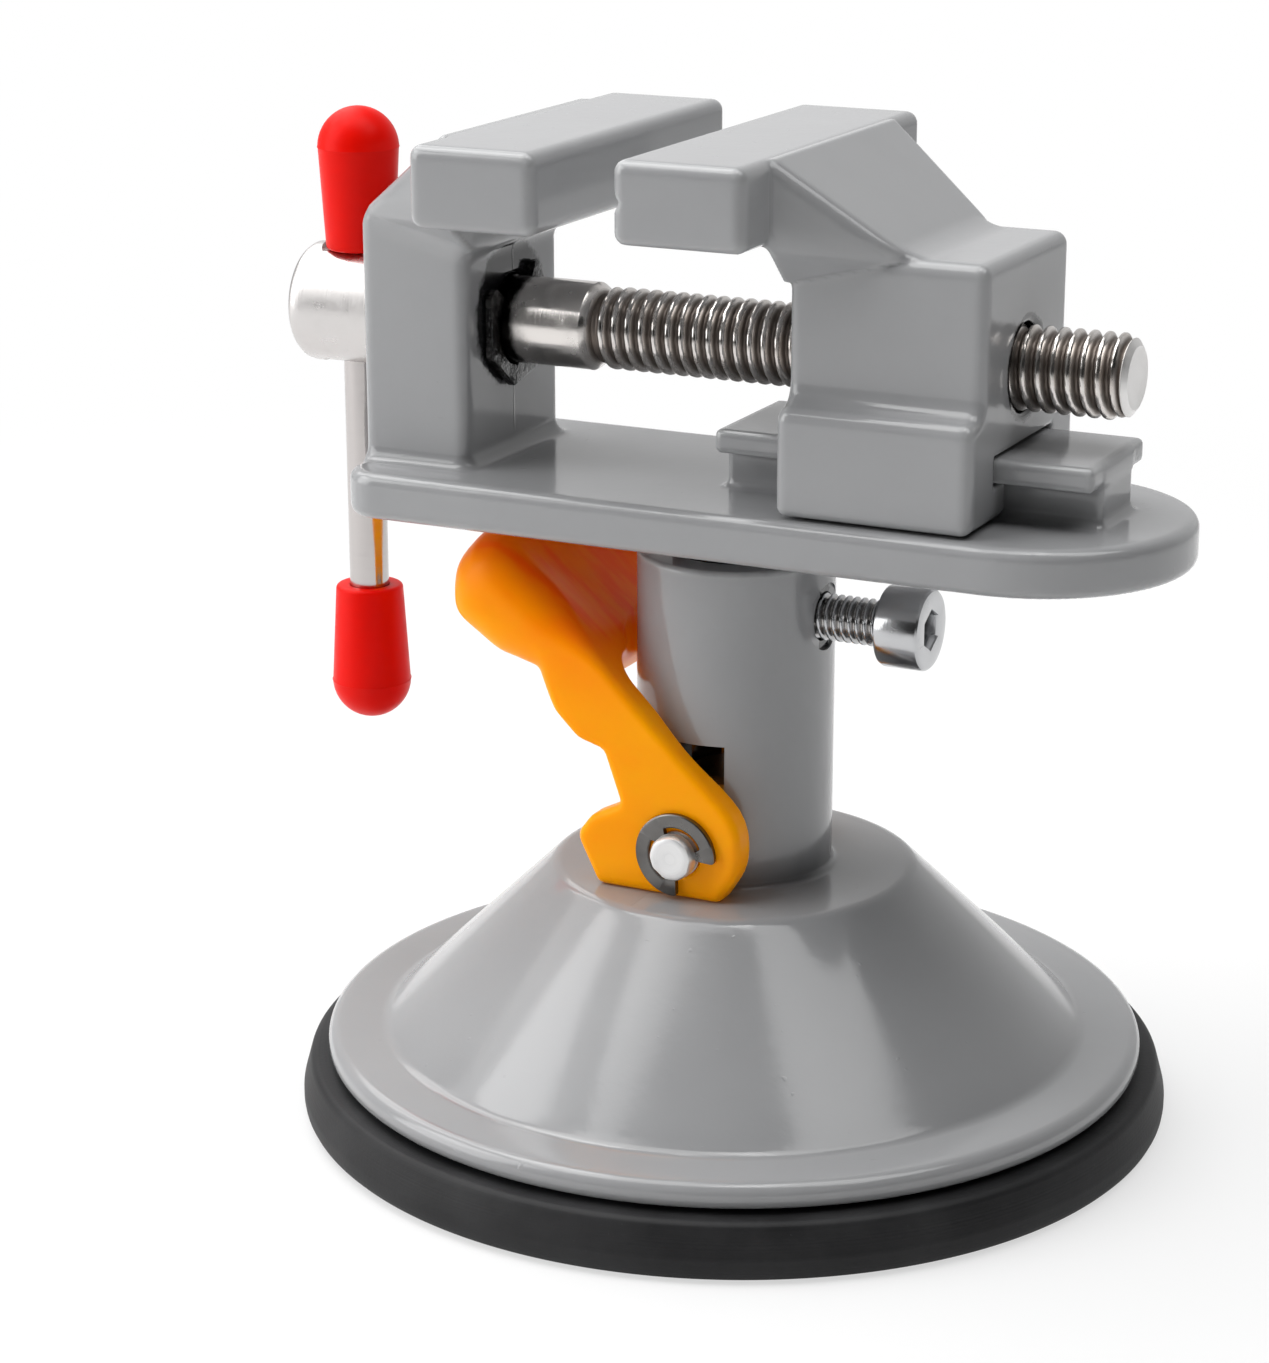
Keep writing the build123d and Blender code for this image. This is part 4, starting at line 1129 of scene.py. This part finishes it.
screw_clip_grid = clip_ring(screw_clip_radius, clip_groove, screw_clip_thick, screw_clip_turn, 7)
grease = Finish("greased_black_steel")
grease_cloud = grease.grain(1.4, 4.0, 0.6)
grease_thick = grease.step(grease_cloud, 0.4, 0.7)
made_piece(
    "shank_clip_stamping",
    screw_clip_grid[..., [2, 0, 1]] + (screw_clip_left, 0, screw_height),
    clip_faces(*screw_clip_grid.shape[:2]),
    body="screw",
    node="screw_clip",
    slot="greased_steel",
    finish=grease.cover(
        Base_Color=grease.coats((0.006, 0.006, 0.006, 1), (grease_thick, (0.04, 0.038, 0.036, 1))),
        Roughness=grease.step(grease_cloud, 0.35, 0.7, 0.06, 0.2),
        Normal=grease.bump((grease_cloud, 0.3)),
    ),
)

# -------------------------------------------------------------------------- sliding bar and caps
# The bar is ground bright steel that slides through the screw's head. A red soft-plastic cap is
# pushed on each end: it widens evenly from its mouth to a fine mould line, and closes in a dome.
bar_low_mouth = 42.42
bar_high_mouth = 72.82
bar_in_cap = 10.0
cap_length = 12.4
cap_neck = 3.0
cap_belly = 3.55
cap_dome = 3.4
cap_red = (0.86, 0.005, 0.001, 1)
cap_deep = (0.74, 0.004, 0.001, 1)

bar_low, bar_high = bar_low_mouth - bar_in_cap, bar_high_mouth + bar_in_cap
bar_path = [(0, bar_low), (bar_radius - 0.25, bar_low), (bar_radius, bar_low + 0.25)]
bar_path += [(bar_radius, bar_high - 0.25), (bar_radius - 0.25, bar_high), (0, bar_high)]
made_piece(
    "sliding_bar",
    turned(np.array(bar_path), 64) + (bar_x, 0, 0),
    grid_faces(len(bar_path), 64, rows_close=False),
    body="bar",
    node="handle_bar",
    slot="bright_steel",
    finish=bare_steel(
        "ground_bar_steel",
        (0.52, 0.49, 0.48, 1),
        0.1,
        axis=2,
        centre=(bar_x / 1000, 0, 0),
        ring=0.6,
        depth=0.001,
        stain=0.03,
    ),
)

cap_dome_radius = (cap_belly**2 + cap_dome**2) / (2 * cap_dome)
cap_arc = np.linspace(math.asin(min(1, cap_belly / cap_dome_radius)), 0, 14)
cap_rise = cap_length - cap_dome_radius * (1 - np.cos(cap_arc))
cap_curve = np.stack([cap_dome_radius * np.sin(cap_arc), cap_rise], -1)
cap_side = softened(
    [
        (bar_radius + 0.02, 0.0),
        (cap_neck, 0.0),
        (cap_belly - 0.02, cap_length - cap_dome - 0.12),
        (cap_belly + 0.05, cap_length - cap_dome - 0.05),
    ],
    [0.1, 0.35, 0.05, 0.02],
)
cap_bore = [(0, bar_in_cap + 0.1), (bar_radius + 0.02, bar_in_cap + 0.05)]
cap_path = np.concatenate([cap_side, cap_curve, cap_bore])
red = Finish("red_soft_plastic")
cap_cloud = red.grain(3.0, 3.0)
cap_finish = red.cover(
    Base_Color=red.coats(cap_red, (red.step(cap_cloud, 0.2, 0.9, 0, 0.5), cap_deep)),
    Roughness=red.step(cap_cloud, 0.25, 0.8, 0.34, 0.42),
    Specular_IOR_Level=0.1,
    Subsurface_Weight=0.3,
    Subsurface_Radius=(1.0, 0.02, 0.01),
    Subsurface_Scale=0.001,
    Normal=red.bump((red.grain(5.0, 1.0), 0.02), (red.grain(0.5, 2.0), 0.004)),
)
for cap_name, cap_mouth, cap_way in (("upper_cap", bar_high_mouth, 1), ("lower_cap", bar_low_mouth, -1)):
    made_piece(
        "red_" + cap_name,
        turned(cap_path, 72) * (1, 1, cap_way) + (bar_x, 0, cap_mouth),
        grid_faces(len(cap_path), 72),
        body="bar",
        node=cap_name,
        slot="red_plastic",
        finish=cap_finish,
    )

# --------------------------------------------------------------------------------------- studio
# A wide pale floor, a white room that is dark in front and to the right, and five soft boxes. The
# camera stands where the photograph was taken from.
floor_half = 6000.0
floor_points = np.array([(-1, -1, 0), (1, -1, 0), (1, 1, 0), (-1, 1, 0)], float) * floor_half
floor = made_piece("floor", floor_points, [(0, 1, 2, 3)], closed=False)
ground = Finish("white_floor")
ray = ground.node("ShaderNodeLightPath", out="Is Camera Ray")
gloss = Wire(ground, ray.socket.node.outputs["Is Glossy Ray"])
passing = Wire(ground, ray.socket.node.outputs["Is Transmission Ray"])
floor_x, floor_y, _ = ground.axes()
floor_far = ground.step(from_axis(floor_x, floor_y), 0.09, 0.3)
seen = ray * (0.62 + 0.38 * floor_far) + gloss * 0.34 + passing * 0.62
floor_matt = ground.node("ShaderNodeBsdfDiffuse", None, {"Color": (0.87, 0.87, 0.87, 1)})
floor_white = ground.node("ShaderNodeEmission", None, {"Color": (1, 1, 1, 1), "Strength": 1.0})
floor_mix = ground.node("ShaderNodeMixShader", None, {0: seen, 1: floor_matt, 2: floor_white})
ground.node("ShaderNodeOutputMaterial", None, {"Surface": floor_mix})
floor.data.materials.append(ground.material)

room = Finish("white_room", "worlds", "Generated")
bpy.context.scene.world = room.material
room_ray = room.node("ShaderNodeLightPath", out="Is Camera Ray")
room_x, room_y, room_z = room.axes()
room_light = room.step(room_x, 0.0, -1.0, 0.02, 0.42) + room.step(room_y, 0.3, 1.0, 0.0, 0.66)
room_light = room_light + room.step(room_z, 0.2, 1.0, 0.0, 0.06)
room_shown = room_light + room_ray * (1.0 - room_light)
room_glow = room.node("ShaderNodeBackground", None, {"Color": (1, 1, 1, 1), "Strength": room_shown})
room.node("ShaderNodeOutputWorld", None, {"Surface": room_glow})


def frame_matrix(x_axis, y_axis, z_axis, place):
    """Matrix whose columns are three axes and a place in millimetres."""
    matrix = np.eye(4)
    matrix[:3] = np.stack([x_axis, y_axis, z_axis, np.array(place, float) / 1000], -1)
    return Matrix(matrix.tolist())


def soft_box(name, place, size, power):
    """Rectangular lamp aimed at the object, its size in metres and its power in watts."""
    lamp = bpy.data.lights.new(name, "AREA")
    lamp.shape = "RECTANGLE"
    lamp.size, lamp.size_y = size
    lamp.energy = power
    holder = bpy.data.objects.new(name, lamp)
    bpy.context.scene.collection.objects.link(holder)
    toward = np.array(lamp_aim, float) - np.array(place, float)
    z_axis = -toward / np.linalg.norm(toward)
    x_axis = np.cross((0, 0, 1), z_axis)
    x_axis /= np.linalg.norm(x_axis)
    holder.matrix_world = frame_matrix(x_axis, np.cross(z_axis, x_axis), z_axis, place)


lamp_aim = (0, 0, 40)
soft_box("key_left_box", (-520, -330, 300), (0.45, 0.6), 2.4)
soft_box("high_left_box", (-380, -60, 520), (0.5, 0.5), 0.9)
soft_box("left_back_box", (-330, 200, 500), (0.35, 0.5), 1.1)
soft_box("top_box", (-130, -60, 610), (0.42, 0.45), 1.6)
soft_box("high_right_box", (205, -10, 570), (0.3, 0.4), 1.05)

camera_turn = math.radians(26.475)
camera_rise = math.radians(17.7929)
camera_roll = math.radians(-0.1276)
camera_shift_x, camera_lift, camera_reach = -9.3014, 35.2158, 294.8531
picture_width, picture_height, film_width = 1269, 1363, 36.0
focal_pixels, centre_x, centre_y = 3415.976, 627.6118, 713.5505

back = np.array(
    [
        math.sin(camera_turn) * math.cos(camera_rise),
        -math.cos(camera_turn) * math.cos(camera_rise),
        math.sin(camera_rise),
    ]
)
right = np.array([math.cos(camera_turn), math.sin(camera_turn), 0.0])
up = np.cross(back, right)
stand = right * camera_shift_x + np.array([0, 0, camera_lift]) + back * camera_reach
rolled_right = right * math.cos(camera_roll) + up * math.sin(camera_roll)
rolled_up = -right * math.sin(camera_roll) + up * math.cos(camera_roll)
lens = bpy.data.cameras.new("product_camera")
lens.sensor_fit = "AUTO"
lens.sensor_width = film_width
lens.lens = focal_pixels * film_width / picture_height
lens.shift_x = (picture_width / 2 - centre_x) / picture_height
lens.shift_y = (centre_y - picture_height / 2) / picture_height
lens.clip_start = 0.01
lens.clip_end = 50.0
camera = bpy.data.objects.new("product_camera", lens)
bpy.context.scene.collection.objects.link(camera)
camera.matrix_world = frame_matrix(rolled_right, rolled_up, back, stand)
bpy.context.scene.camera = camera
bpy.context.scene.view_settings.view_transform = "Standard"
